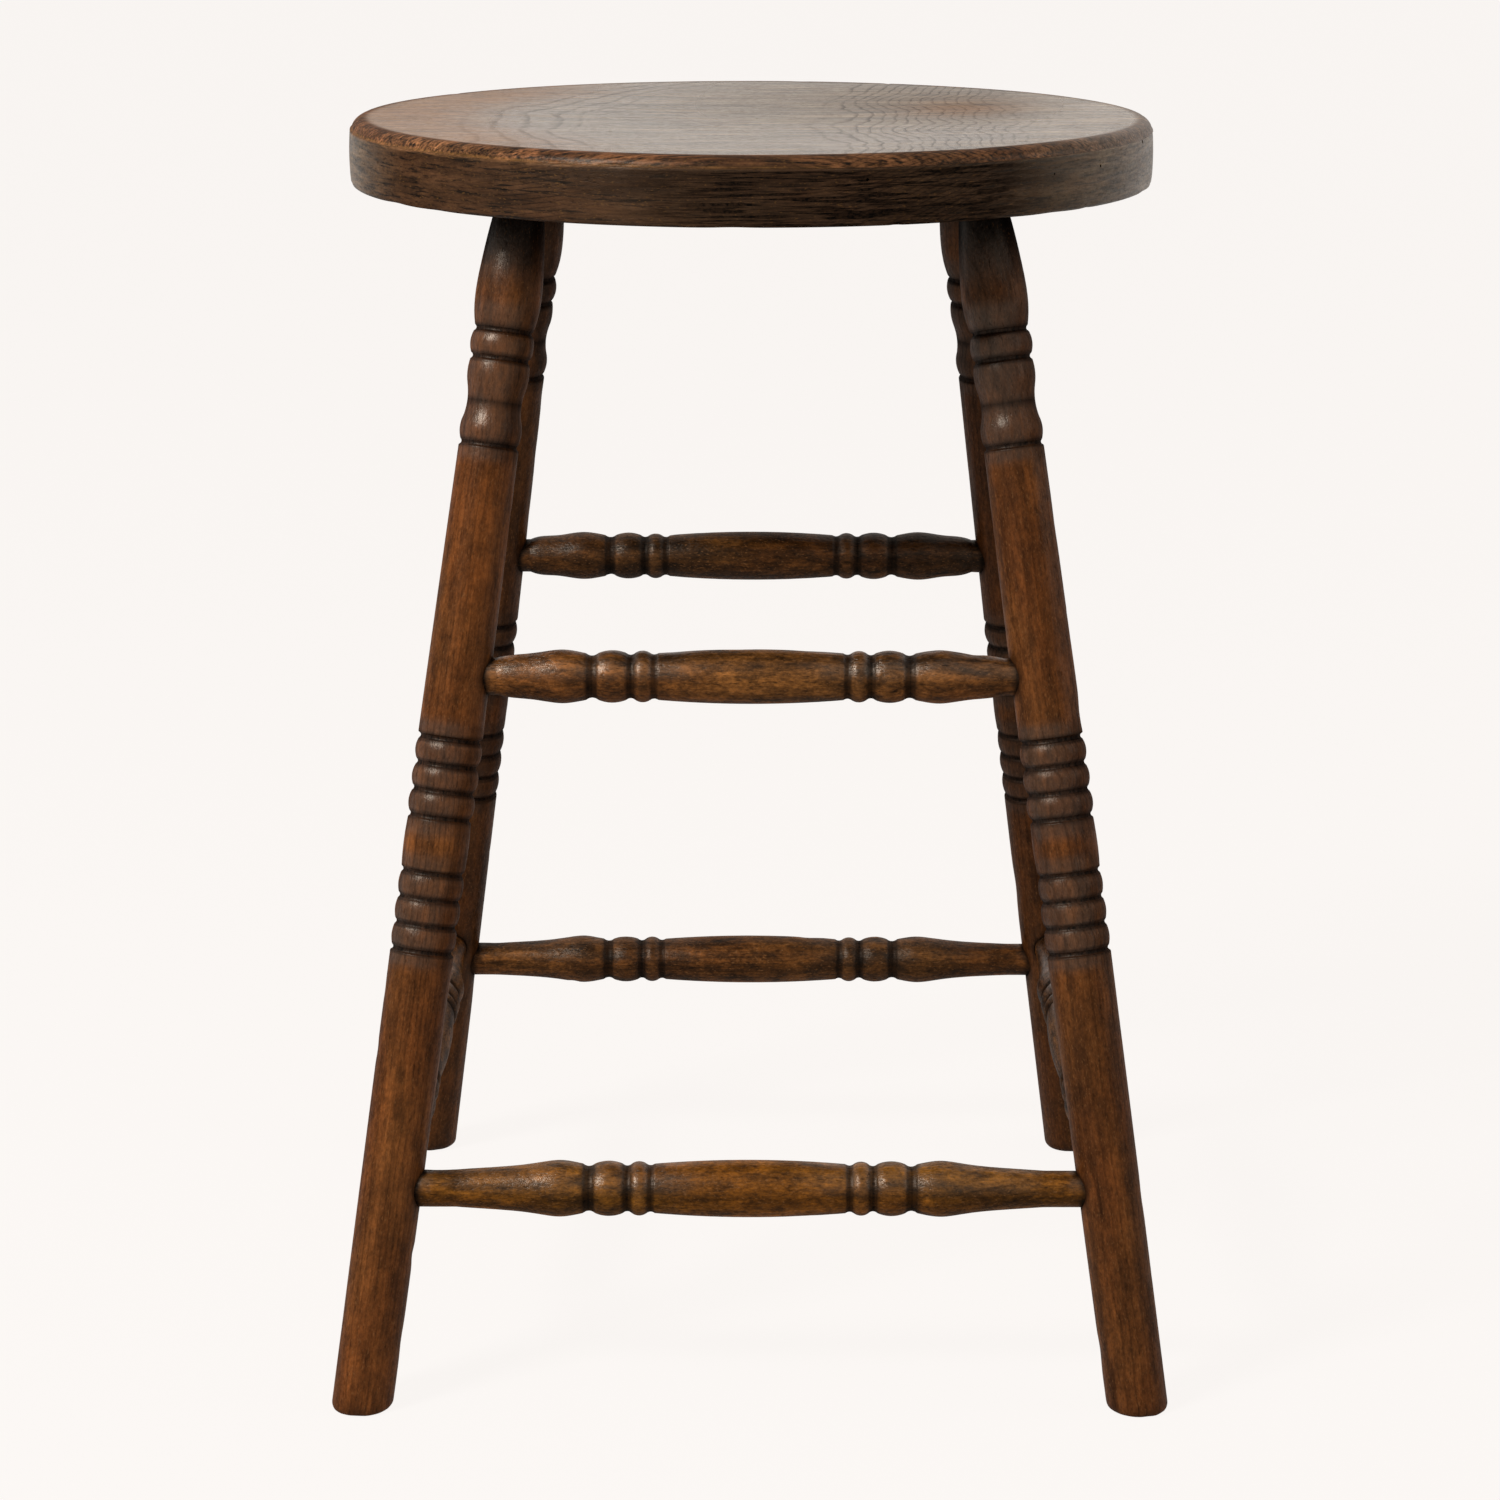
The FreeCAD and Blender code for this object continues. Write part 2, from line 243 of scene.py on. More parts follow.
# %% Meshes and the frames of their trees
def frame_along(start, axis, roll=0.0):
    """A frame at a point, with its Z along an axis and turned about it by roll."""
    z = Vector(axis).normalized()
    x = Vector((0, 1, 0)).cross(z)
    x = x.normalized() if x.length > 1e-3 else Vector((1, 0, 0))
    y = z.cross(x)
    turn = Matrix((x, y, z)).transposed().to_4x4() @ Matrix.Rotation(roll, 4, "Z")
    return Matrix.Translation(Vector(start)) @ turn


def closed_grid(rows, first_middle, last_middle):
    """Corners and faces of a closed skin. rows is an array of rings of points, in order along the piece."""
    count, around = rows.shape[:2]
    points = np.concatenate([rows.reshape(-1, 3), [first_middle, last_middle]])
    index = np.arange(count * around).reshape(count, around)
    beside = np.roll(index, -1, axis=1)
    quads = np.stack([index[:-1], beside[:-1], beside[1:], index[1:]], axis=-1).reshape(-1, 4)
    first = [(count * around, b, a) for a, b in zip(index[0], beside[0])]
    last = [(count * around + 1, a, b) for a, b in zip(index[-1], beside[-1])]
    return points, quads.tolist() + first + last


def make_piece(name, points, faces):
    """A smooth mesh in the stool's frame."""
    mesh = bpy.data.meshes.new(name)
    mesh.from_pydata(np.asarray(points).tolist(), [], faces)
    mesh.shade_smooth()
    piece = bpy.data.objects.new(name, mesh)
    bpy.context.scene.collection.objects.link(piece)
    return piece


def points_of(piece):
    """The corners of a piece."""
    flat = np.zeros(len(piece.data.vertices) * 3)
    piece.data.vertices.foreach_get("co", flat)
    return flat.reshape(-1, 3)


def store(piece, name, values):
    """Keep a number from 0 to 1, or a vector, for each corner of a piece."""
    kind, field = ("FLOAT", "value") if values.ndim == 1 else ("FLOAT_VECTOR", "vector")
    layer = piece.data.attributes.new(name, kind, "POINT")
    layer.data.foreach_set(field, values.astype(np.float32).ravel())


def store_grain(piece, tree, points=None):
    """Keep each corner's place in the frame of the tree."""
    points = points_of(piece) if points is None else points
    to_tree = np.array(tree.inverted())
    store(piece, "grain", points @ to_tree[:3, :3].T + to_tree[:3, 3])


print("a frame along X has its Z at", [round(v, 3) for v in frame_along((0, 0, 0), (1, 0, 0)).col[2][:3]])

# %% [markdown]
# ## Hand-made unevenness
# A lathe leaves faint rings, wood shrinks to an oval as it dries, and use leaves dents. Bump in a
# material could fake the last two, but a dent at the edge of a leg has to change the outline, so
# they go into the mesh. Everything cuts inwards, so that no piece grows past its solid.

# %% Unevenness of a turned skin
dent_sizes = (0.3, 1.0)
dent_lengths = (0.6, 2.2)
dent_depths = (0.05, 0.13)
oval_depth, oval_twist = 0.00012, 9
lathe_ring_depth = 0.000012
lathe_pitches = (0.0016, 0.0021)
pitch_drift, drifts_per_metre = 2.0, 90
largest_turn = 6


def dent_list(maker, length, count, largest):
    """Dents as place, angle, half length, half width and depth."""
    dents = []
    for _ in range(count):
        size = maker.uniform(*dent_sizes) * largest
        dents.append((maker.uniform(0.0, length), maker.uniform(0, 2 * math.pi),
                      size * maker.uniform(*dent_lengths), size, size * maker.uniform(*dent_depths)))
    return dents


def unevenness(places, angles, radius, maker, dents):
    """How far the skin lies inside its true outline, for grids of places and angles."""
    oval_angle = maker.uniform(0, largest_turn)
    depth = oval_depth * (1 + np.cos(2 * angles + oval_angle + oval_twist * places))
    pitch = maker.uniform(*lathe_pitches)
    drift = pitch_drift * np.sin(places * drifts_per_metre)
    depth = depth + lathe_ring_depth * (1 + np.sin(2 * math.pi * places / pitch + drift + angles))
    for place, angle, half_length, half_width, deepest in dents:
        across = (np.angle(np.exp(1j * (angles - angle)))) * radius / half_width
        along = (places - place) / half_length
        depth = depth + deepest * np.exp(-(across**2 + along**2))
    return depth


print("turned pieces are oval by up to", round(2 * oval_depth * 1000, 2), "mm")

# %% [markdown]
# ## Turned skins
# A skin is the outline turned about its axis, row by row. A leg is not closed by a flat end at its
# foot: it was sawn level with the floor after it was fitted, so its sole slants across the axis, and
# its rim is worn round. The rows near the foot therefore bend from square to slanting, then roll
# over the rim on a curve and close at the middle of the sole.

# %% Skins of rungs
around_count = 72
rung_dents = {"count": 26, "largest": 0.0045}
spoke_angles = np.linspace(0, 2 * math.pi, around_count, endpoint=False)


def turned_grid(node, maker, places, dents):
    """Points of the outline turned about the axis, with the rows in order along it."""
    start, end = axes[node]
    outline = outlines[node]
    way = (end - start) / outline.length
    sides = np.array(frame_along(start, way).to_3x3())
    angles = spoke_angles[None, :]
    places = places if places.ndim == 2 else places[:, None]
    places = np.broadcast_to(places, (places.shape[0], around_count))
    radius = outline.radius(places)
    radius = radius - unevenness(places, angles, radius, maker, dents)
    spokes = np.cos(angles)[..., None] * sides[:, 0] + np.sin(angles)[..., None] * sides[:, 1]
    return start + places[..., None] * way + radius[..., None] * spokes


def make_rung_skin(node):
    maker = random.Random(node)
    outline = outlines[node]
    places = outline.rows()
    places[0], places[-1] = 0.0, outline.length
    dents = dent_list(maker, outline.length, **rung_dents)
    points, faces = closed_grid(turned_grid(node, maker, places, dents), *axes[node])
    return make_piece(node + "_wood", points, faces)


skins = {node: make_rung_skin(node) for node in rungs}
print("faces in rungs:", sum(len(s.data.polygons) for s in skins.values()))

# %% [markdown]
# The worn rim of a foot is a curve from the leg's side to its sole, with the sharp corner as its
# middle handle. A bevel would do the same on a clean edge, but it can't wear one side more than
# another, and old feet never wear evenly.

# %% Skins of legs
leg_dents = {"count": 60, "largest": 0.006}
dented_share = 0.9
foot_wear = {"front": 0.0040, "back": 0.0042}
wear_variation, wear_patches = 0.35, 2.2
square_from = 0.03
bend_rows, rim_rows, sole_rows = 12, 8, 3
sole_middle = 0.25


def slanted_places(node, rim_wear):
    """Places of a leg's rows. Near the foot they bend from square across the axis to level with the floor."""
    start, end = axes[node]
    outline = outlines[node]
    way = (end - start) / outline.length
    sides = np.array(frame_along(start, way).to_3x3())
    spoke_rise = np.cos(spoke_angles) * sides[2, 0] + np.sin(spoke_angles) * sides[2, 1]
    at_floor = -outline.radii[0] * spoke_rise / way[2]
    square_rows = outline.rows()
    square_rows = square_rows[square_rows > square_from]
    square_rows[-1] = outline.length
    bend = np.linspace(0, 1, bend_rows, endpoint=False)[:, None]
    slanted = (at_floor + rim_wear) * (1 - bend) + square_from * bend
    return np.concatenate([slanted, np.broadcast_to(square_rows[:, None], (len(square_rows), around_count))])


def foot_rows(node, rim_start, rim_wear):
    """Rows of points from near the middle of the sole to the worn rim."""
    start, end = axes[node]
    way = (end - start) / outlines[node].length
    corner = rim_start - way * rim_wear[:, None]
    corner[:, 2] = 0.0
    inwards = start - corner
    inwards /= np.linalg.norm(inwards, axis=1)[:, None]
    on_sole = corner + inwards * rim_wear[:, None]
    t = np.linspace(0, 1, rim_rows, endpoint=False)[:, None, None]
    rim = (1 - t) ** 2 * on_sole + 2 * t * (1 - t) * corner + t**2 * rim_start
    shares = np.linspace(sole_middle, 1, sole_rows, endpoint=False)[:, None, None]
    return np.concatenate([start + (on_sole - start) * shares, rim])


def make_leg_skin(node):
    maker = random.Random(node)
    dents = dent_list(maker, outlines[node].length * dented_share, **leg_dents)
    round_the_foot = [Vector((math.cos(a), math.sin(a), len(node))) for a in spoke_angles]
    ragged = np.array([noise.noise(v * wear_patches) for v in round_the_foot])
    rim_wear = foot_wear[node.split("_")[0]] * (1 + wear_variation * ragged)
    skin = turned_grid(node, maker, slanted_places(node, rim_wear), dents)
    rows = np.concatenate([foot_rows(node, skin[0], rim_wear), skin])
    points, faces = closed_grid(rows, *axes[node])
    return make_piece(node + "_wood", points, faces)


skins.update({node: make_leg_skin(node) for node in legs})
print("faces in legs:", sum(len(skins[node].data.polygons) for node in legs))

# %% [markdown]
# ## The seat board
# The seat is a disc that was turned too: dished on top, rounded over at the rim with a fine step
# under the round, and eased below. Seen from the middle of its half section, the outline is a single
# sweep from the top to the underside, so sorting the rings by that angle puts them in order.

# %% Seat outline
seat_corners = corners_of("seat")
seat_low, seat_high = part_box("seat")
seat_rings, _ = full_rings(seat_corners, np.zeros(3), np.array([0.0, 0.0, 1.0]), least_count=24)
seat_middle_height = (seat_low.z + seat_high.z) / 2
seat_rings = seat_rings[np.argsort(-np.arctan2(seat_rings[:, 0] - seat_middle_height, seat_rings[:, 1]))]
seat_radius = seat_rings[:, 1].max()
on_axis = seat_corners[np.hypot(seat_corners[:, 0], seat_corners[:, 1]) < 1e-5]
dish_floor = on_axis[on_axis[:, 2] > seat_middle_height][:, 2].max()


def broken_at_corners(points, sharpest=math.radians(25)):
    """Smooth curves through points, broken where the way turns sharply."""
    way = np.arctan2(*np.diff(points, axis=0).T)
    turns = np.abs(np.angle(np.exp(1j * np.diff(way))))
    cuts = [0] + [i + 1 for i, turn in enumerate(turns) if turn > sharpest] + [len(points) - 1]
    return np.concatenate([curve_through(points[a:b + 1]) for a, b in zip(cuts, cuts[1:])])


def evenly_spaced(line, spacing):
    """The same line with points at an even spacing."""
    at = np.concatenate([[0], np.cumsum(np.linalg.norm(np.diff(line, axis=0), axis=1))])
    even = np.arange(0, at[-1], spacing)
    return np.stack([np.interp(even, at, line[:, 0]), np.interp(even, at, line[:, 1])], axis=1)


seat_spacing = 0.0001
seat_softness = 0.00025
seat_section = np.concatenate([[[dish_floor, 0]], seat_rings, [[seat_low.z, 0]]])
seat_line = evenly_spaced(broken_at_corners(seat_section), seat_spacing)
seat_line = np.stack([blurred(v, seat_spacing, seat_softness) for v in seat_line.T], axis=1)
seat_line[:, 0] = np.clip(seat_line[:, 0], seat_low.z, seat_high.z)
seat_line[0, 1] = seat_line[-1, 1] = 0.0
print("seat radius", round(seat_radius * 1000, 1), "mm, dish floor at", round(dish_floor * 1000, 1), "mm")

# %% [markdown]
# The rows lie close together on the edge of the seat, which shows nicks and a worn step, and farther
# apart on the flat faces. The step under the round is crisp on the left and has worn away on the
# right, as in the photograph, so the side of the seat draws in there by the depth of the step.

# %% Rows of the seat
seat_around = 520
edge_zone = 0.012


def seat_rows(edge_row=0.0009, face_row=0.0042, turn=math.radians(12), bend_softness=0.0003):
    """Which points of the seat's line become rows of the skin."""
    way = np.unwrap(np.arctan2(*np.gradient(seat_line, axis=0).T))
    bend = blurred(np.abs(np.gradient(way, seat_spacing)), seat_spacing, bend_softness)
    longest = np.where(seat_line[:, 1] > seat_radius - edge_zone, edge_row, face_row)
    density = 1 / longest + bend / turn
    count_at = np.concatenate([[0], np.cumsum((density[1:] + density[:-1]) / 2 * seat_spacing)])
    rows = np.interp(np.arange(1, int(count_at[-1])), count_at, np.arange(len(seat_line)))
    return np.round(rows).astype(int)


print("the seat's skin has", len(seat_rows()), "rows of", seat_around, "points")

# %% [markdown]
# Every dent, nick and wave is a depth below the true skin. The depths are added up first, and then
# each point moves inwards by its own depth, square to the outline. Sculpting by hand would look the
# same, but it couldn't be repeated when a size changes.

# %% Wear of the seat
waves_per_metre = (9, 22, 30)
wave_depth = 0.00014
top_dents = {"count": 90, "size": (0.001, 0.005), "depth": (0.00005, 0.0003)}
top_zone = 0.003
step_from, step_to, step_depth = 0.0053, 0.0063, 0.00055
step_reach = (0.004, 0.001)
step_fade, fade_wobble = (0.05, 0.45), 0.25
edge_nicks = {"count": 46, "half_width": (0.002, 0.009), "depth": (0.0001, 0.0005)}
upper_nick_below_top, upper_nick_height = 0.0056, 0.0011
lower_nick_above_base, lower_nick_height = 0.0015, 0.0025


def soft_step(value, low, high):
    """Rises smoothly from 0 at low to 1 at high."""
    t = np.clip((value - low) / (high - low), 0, 1)
    return t * t * (3 - 2 * t)


def dent_the_top(depth, x, y, on_top, maker):
    for _ in range(top_dents["count"]):
        reach, way = seat_radius * math.sqrt(maker.random()), maker.uniform(0, 2 * math.pi)
        size, deepest = maker.uniform(*top_dents["size"]), maker.uniform(*top_dents["depth"])
        far = np.hypot(x - reach * math.cos(way), y - reach * math.sin(way)) / size
        depth += on_top[:, None] * deepest * np.exp(-far**2)


def wear_away_the_step(depth, radius, height, angle):
    """The side of the seat draws in on the right, as far as the step stands out."""
    below_round = soft_step(-height, -(seat_high.z - step_from), -(seat_high.z - step_to))
    on_side = below_round * soft_step(radius, seat_radius - step_reach[0], seat_radius - step_reach[1])
    right_side = soft_step(np.cos(angle) + fade_wobble * np.sin(angle * 3), *step_fade)
    depth += step_depth * on_side * right_side


def nick_the_edges(depth, height, angle, maker):
    edge = np.exp(-((height - (seat_high.z - upper_nick_below_top)) / upper_nick_height) ** 2)
    low_edge = np.exp(-((height - (seat_low.z + lower_nick_above_base)) / lower_nick_height) ** 2)
    for _ in range(edge_nicks["count"]):
        way, half_width = maker.uniform(0, 2 * math.pi), maker.uniform(*edge_nicks["half_width"])
        across = np.angle(np.exp(1j * (angle - way))) * seat_radius / half_width
        nicked = maker.choice((edge, low_edge))
        depth += nicked * maker.uniform(*edge_nicks["depth"]) * np.exp(-across**2)


def make_seat_skin():
    maker = random.Random("seat")
    rows = seat_rows()
    heights, radii = seat_line[rows].T
    tangent = np.gradient(seat_line, axis=0)[rows]
    tangent /= np.linalg.norm(tangent, axis=1)[:, None]
    angles = np.linspace(0, 2 * math.pi, seat_around, endpoint=False)
    radius, angle = np.meshgrid(radii, angles, indexing="ij")
    height = np.repeat(heights[:, None], seat_around, axis=1)
    x, y = radius * np.cos(angle), radius * np.sin(angle)

    places = zip(x.flat, y.flat, height.flat)
    waves = np.array([noise.noise(Vector([v * n for v, n in zip(p, waves_per_metre)])) for p in places])
    depth = wave_depth * (1 + waves.reshape(x.shape))
    dent_the_top(depth, x, y, heights > seat_high.z - top_zone, maker)
    wear_away_the_step(depth, radius, height, angle)
    nick_the_edges(depth, height, angle, maker)
    print("deepest wear on the seat", round(depth.max() * 1000, 2), "mm")

    radius = radius + depth * tangent[:, :1]
    height = height - depth * tangent[:, 1:]
    points = np.stack([radius * np.cos(angle), radius * np.sin(angle), height], axis=-1)[::-1]
    skin, faces = closed_grid(points, (0, 0, seat_low.z), (0, 0, dish_floor))
    return make_piece("seat_wood", skin, faces)


skins["seat"] = make_seat_skin()
print("seat faces:", len(skins["seat"].data.polygons))

# %% [markdown]
# ## Sockets and mortises
# The legs stand in round sockets bored up into the seat, and the rungs end in tenons that sit in
# mortises bored into the legs. Each hole is cut by subtracting a plug that follows the real tenon
# with a hair of clearance. Leaving the pieces to run into each other would look the same from
# outside, but then the stool could not come apart as the real one can.

# %% Cutters
joint_clearance = 0.0001
plug_row = 0.00025
hole_arris = math.radians(50)


def tube(start, way, depths, radii, around=64):
    """A closed round cutter along a direction, as wide at each depth as its radius there."""
    side = np.array(frame_along(start, way).to_3x3())
    angles = np.linspace(0, 2 * math.pi, around, endpoint=False)
    spokes = np.cos(angles)[:, None] * side[:, 0] + np.sin(angles)[:, None] * side[:, 1]
    rows = start + depths[:, None, None] * way + radii[:, None, None] * spokes
    return closed_grid(rows, start + depths[0] * way, start + depths[-1] * way)


def plug(node, at_end, mouth, reach):
    """A closed cutter that follows a piece from its tip to its socket's mouth, and then runs straight on."""
    outline = outlines[node]
    start, end = axes[node]
    way = (end - start) / outline.length
    tip = end if at_end else start
    inwards = -way if at_end else way
    depths = np.linspace(0, mouth, int(mouth / plug_row) + 2)
    radii = outline.radius(outline.length - depths if at_end else depths) + joint_clearance
    depths, radii = np.append(depths, reach), np.append(radii, radii[-1])
    depths[0] = -joint_clearance
    return tube(tip, inwards, depths, radii)


def cut(piece, plugs):
    """Subtract plugs from a piece, and keep the arrises of the holes sharp."""
    points = np.concatenate([p for p, _ in plugs])
    faces, offset = [], 0
    for p, f in plugs:
        faces += [tuple(i + offset for i in face) for face in f]
        offset += len(p)
    cutter = make_piece("cutter", points, faces)
    modifier = piece.modifiers.new("holes", "BOOLEAN")
    modifier.operation = "DIFFERENCE"
    modifier.solver = "MANIFOLD"
    modifier.object = cutter
    evaluated = piece.evaluated_get(bpy.context.evaluated_depsgraph_get())
    mesh = bpy.data.meshes.new_from_object(evaluated)
    piece.modifiers.clear()
    piece.data = mesh
    mesh.set_sharp_from_angle(angle=hole_arris)
    bpy.data.objects.remove(cutter)


def rung_ends_in(leg):
    """Each rung end that sits in a leg, as the rung and whether it is the rung's far end."""
    start, end = axes[leg]
    way = (end - start) / outlines[leg].length
    found = []
    for rung in rungs:
        for at_end, tip in enumerate(axes[rung]):
            off_axis = np.linalg.norm(np.cross(tip - start, way))
            if off_axis < outlines[leg].radii.max():
                found.append((rung, bool(at_end)))
    return found


print("each cutter has a clearance of", joint_clearance * 1000, "mm")

# %% [markdown]
# Worms have bored six small holes into the seat that show in the photograph, four in its side and two
# on top. Each is a round hole of its own, cut with the sockets. Black dots in the material would do
# from afar, but a real hole also catches the light at its rim.

# %% Cut the joints and the worm holes
hole_depth = 0.003
side_holes = [{"turn": -17.6, "below_top": 0.0073, "radius": 0.0009},
              {"turn": -33.9, "below_top": 0.0136, "radius": 0.0008},
              {"turn": -44.7, "below_top": 0.0143, "radius": 0.0005},
              {"turn": -74.6, "below_top": 0.0115, "radius": 0.0008}]
top_holes = [(0.0026, 0.0031), (0.0050, -0.0534)]
top_hole_radius = 0.0008
rung_mouth, rung_plug_reach = 0.0195, 0.04
leg_mouth, leg_plug_reach = 0.005, 0.06

worm_holes = []
for hole in side_holes:
    turn = math.radians(hole["turn"])
    outwards = np.array([math.cos(turn), math.sin(turn), 0.0])
    bottom = outwards * (seat_radius - hole_depth) + (0, 0, seat_high.z - hole["below_top"])
    worm_holes.append((bottom, outwards, hole["radius"]))
for x, y in top_holes:
    worm_holes.append((np.array([x, y, dish_floor - hole_depth]), np.array([0.0, 0.0, 1.0]), top_hole_radius))

joints = {leg: rung_ends_in(leg) for leg in legs}
for leg in legs:
    cut(skins[leg], [plug(rung, at_end, rung_mouth, rung_plug_reach) for rung, at_end in joints[leg]])
sockets = [plug(leg, True, leg_mouth, leg_plug_reach) for leg in legs]
hole_span = np.array([0.0, 2 * hole_depth])
bores = [tube(bottom, way, hole_span, np.full(2, radius), around=12) for bottom, way, radius in worm_holes]
cut(skins["seat"], sockets + bores)
print("mortises per leg:", {leg: len(found) for leg, found in joints.items()}, "worm holes:", len(bores))

# %% [markdown]
# ## Where dirt and painted shade lie, and where hands polish
# Old wax and dirt gather where a cloth does not reach: in the grooves, in the hollow curves, under
# the seat and round the joints. In the grooves and hollow curves the darkening is also painted shade.
# Crests are rubbed pale. Both are worked out for every corner of the mesh from its place on the piece,
# and stored as two attributes, one for the darkening and one for the wear. An ambient occlusion node
# could find the hollows too, but it is slow and it also darkens what merely stands close.

# %% Distances from turned pieces
def from_axis(node, points):
    """The place along a turned piece's axis and the distance from it, for points in the stool's frame."""
    start, end = axes[node]
    way = (end - start) / outlines[node].length
    places = (points - start) @ way
    return places, np.linalg.norm(points - start - places[:, None] * way, axis=1)


def outside(node, points):
    """How far points lie outside a turned piece's skin, or past one of its ends."""
    places, distances = from_axis(node, points)
    past = np.maximum(-places, places - outlines[node].length)
    return np.maximum(distances - outlines[node].radius(places), past)


def facing(node, points, direction, least=1e-6):
    """How squarely each point of a turned piece faces a direction, from -1 to 1."""
    start, end = axes[node]
    way = (end - start) / outlines[node].length
    away = points - start - np.outer((points - start) @ way, way)
    return away / np.maximum(np.linalg.norm(away, axis=1), least)[:, None] @ direction


gap = outside("front_upper_rung", np.zeros((1, 3)))[0]
print("the floor's middle lies", round(float(gap), 3), "m from the front upper rung")

# %% [markdown]
# Dirt starts to stay where a hollow is a fifth of a millimetre deep. It fills the turned grooves and
# is smeared a little way out of them, and it lies thinner in the wide hollow curves, round each joint
# and at the foot. In the grooves and hollow curves this darkening is also painted shade, and the
# steep flanks of beads are darkened too. Each pair below says at which depth, distance or slope a
# thing starts and at which one it is full.

# %% Dirt and painted shade on the turned pieces
groove_depths = (0.0002, 0.0009)
smear_width, smear_depths, smear_dirt_and_shade = 0.0016, (0.00002, 0.00030), 0.86
cove_depths = {"leg": (0.0002, 0.0022), "rung": (0.0002, 0.0017)}
flank_width, flank_slopes = 0.005, (0.02, 0.12)
cove_dirt_and_shade, flank_darkening = 0.72, {"leg": 0.44, "rung": 0.18}
joint_dirt, joint_dirt_reach = 0.95, 0.0018
foot_dirt, foot_dirt_heights = 0.3, (0.0, 0.010)
rung_end_distances = (0.0002, 0.0030)


def hollow_dirt_and_shade(kind, outline, places):
    """Dirt and painted shade in the grooves and wide hollows, darker bead flanks, and how steep those are."""
    groove = soft_step(np.interp(places, outline.places, outline.narrow_hollow), *groove_depths)
    smeared = blurred(outline.narrow_hollow, outline.spacing, smear_width)
    smeared = smear_dirt_and_shade * soft_step(np.interp(places, outline.places, smeared), *smear_depths)
    cove = soft_step(np.interp(places, outline.places, outline.wide_hollow), *cove_depths[kind])
    slopes = blurred(np.abs(np.gradient(outline.radii, outline.spacing)), outline.spacing, flank_width)
    slopes = np.interp(places, outline.places, slopes)
    flank = soft_step(slopes, *flank_slopes)
    groove = np.maximum(groove, smeared)
    return np.maximum(groove, cove_dirt_and_shade * cove + flank_darkening[kind] * flank), slopes


def joint_grime(node, points, dirt_and_shade):
    """Adds the dirt round a leg's rungs and at its foot, or at a rung's two ends."""
    if node in rungs:
        for leg in legs:
            dirt_and_shade = np.maximum(dirt_and_shade, 1 - soft_step(outside(leg, points), *rung_end_distances))
        return dirt_and_shade
    for rung, _ in joints[node]:
        away = np.clip(outside(rung, points), 0, None)
        dirt_and_shade = np.maximum(dirt_and_shade, joint_dirt * np.exp(-away / joint_dirt_reach))
    return np.maximum(dirt_and_shade, foot_dirt * (1 - soft_step(points[:, 2], *foot_dirt_heights)))


steep = {}
for node in legs + rungs:
    points = points_of(skins[node])
    kind = "leg" if node in legs else "rung"
    dirt_and_shade, steep[node] = hollow_dirt_and_shade(kind, outlines[node], from_axis(node, points)[0])
    dirt_and_shade = np.clip(joint_grime(node, points, dirt_and_shade), 0, 1)
    store(skins[node], "dirt_and_shade", dirt_and_shade)
    print(node, "mean grime", round(float(dirt_and_shade.mean()), 2))

# %% [markdown]
# Feet and dusters polish what faces forwards and up, where the wood swells. Just under the seat the
# legs are painted nearly black as the seat's shade, and only their rubbed side still shines. The tone
# of each piece sets how dark its wood is, and it also paints shade on the back pieces and on those to
# the right, which the key light reaches less.

# %% Polish and tone of the turned pieces
crest_width, crest_heights = 0.0022, (0.0001, 0.0009)
polished_way = {"leg": np.array([-0.30, -0.95, 0.0]), "rung": np.array([-0.12, -0.55, 0.83])}
polished_facings = (0.45, 0.95)
least_polish = {"leg": 0.24, "rung": 0.20}
back_rubbing = 0.35
curve_slopes, straight_polish = (0.01, 0.08), 0.3
shade_below_seat, shade_polish, shade_darkness = (0.008, 0.050), 0.9, 0.97
shade_dullness, rubbing_saves = 0.85, 0.85
# Painted shade: the back pieces and those on the right get a darker tone, as the key light reaches them less.
piece_tones_and_shade = {"front_left_leg": 0.90, "front_right_leg": 0.70, "back_left_leg": 0.52, "back_right_leg": 0.55,
         "front_upper_rung": 0.90, "front_lower_rung": 0.84, "back_upper_rung": 0.50, "back_lower_rung": 0.72,
         "left_side_rung": 0.70, "right_side_rung": 0.60}

for node in legs + rungs:
    points = points_of(skins[node])
    outline = outlines[node]
    kind = "leg" if node in legs else "rung"
    crest = outline.radii - blurred(outline.radii, outline.spacing, crest_width)
    crest = np.interp(from_axis(node, points)[0], outline.places, crest)
    rubbed = soft_step(facing(node, points, polished_way[kind]), *polished_facings)
    rubbed = back_rubbing * rubbed if node.startswith("back") else rubbed
    if kind == "leg":
        # Painted shade under the seat: this mask darkens the tops of the legs in their tone.
        shade = 1 - soft_step(seat_low.z - points[:, 2], *shade_below_seat)
        swelling = np.maximum(soft_step(steep[node], *flank_slopes), shade_polish * shade)
    else:
        shade = np.zeros(len(points))
        swelling = np.maximum(soft_step(steep[node], *curve_slopes), straight_polish)
    polish = least_polish[kind] + (1 - least_polish[kind]) * rubbed * swelling
    polish *= 1 - shade_dullness * shade * (1 - rubbing_saves * rubbed)
    store(skins[node], "wear", soft_step(crest, *crest_heights))
    store(skins[node], "polish", polish)
    # The tone paints the shade of each piece and the shade under the seat.
    store(skins[node], "tone", piece_tones_and_shade[node] * (1 - shade_darkness * shade))
    print(node, "mean polish", round(float(polish.mean()), 2))

# %% [markdown]
# The seat is divided into zones: its side, the round over its edge, the ends at the far left and
# right where the paper's light grazes it, and the darker right half of the side. A mask for each
# corner of the mesh says how far it belongs to a zone.

# %% Zones of the seat
outer_zone = 0.15
side_depths, round_insets = (0.0056, 0.0075), (0.011, 0.006)
darker_stretch, top_right_sheen_stretch = (-0.10, 0.0), (0.115, 0.175)
right_stretch, left_stretch = (0.105, 0.190), (0.165, 0.200)
scuffs_from, scuffs_to = (-0.17, -0.11), (-0.07, -0.02)

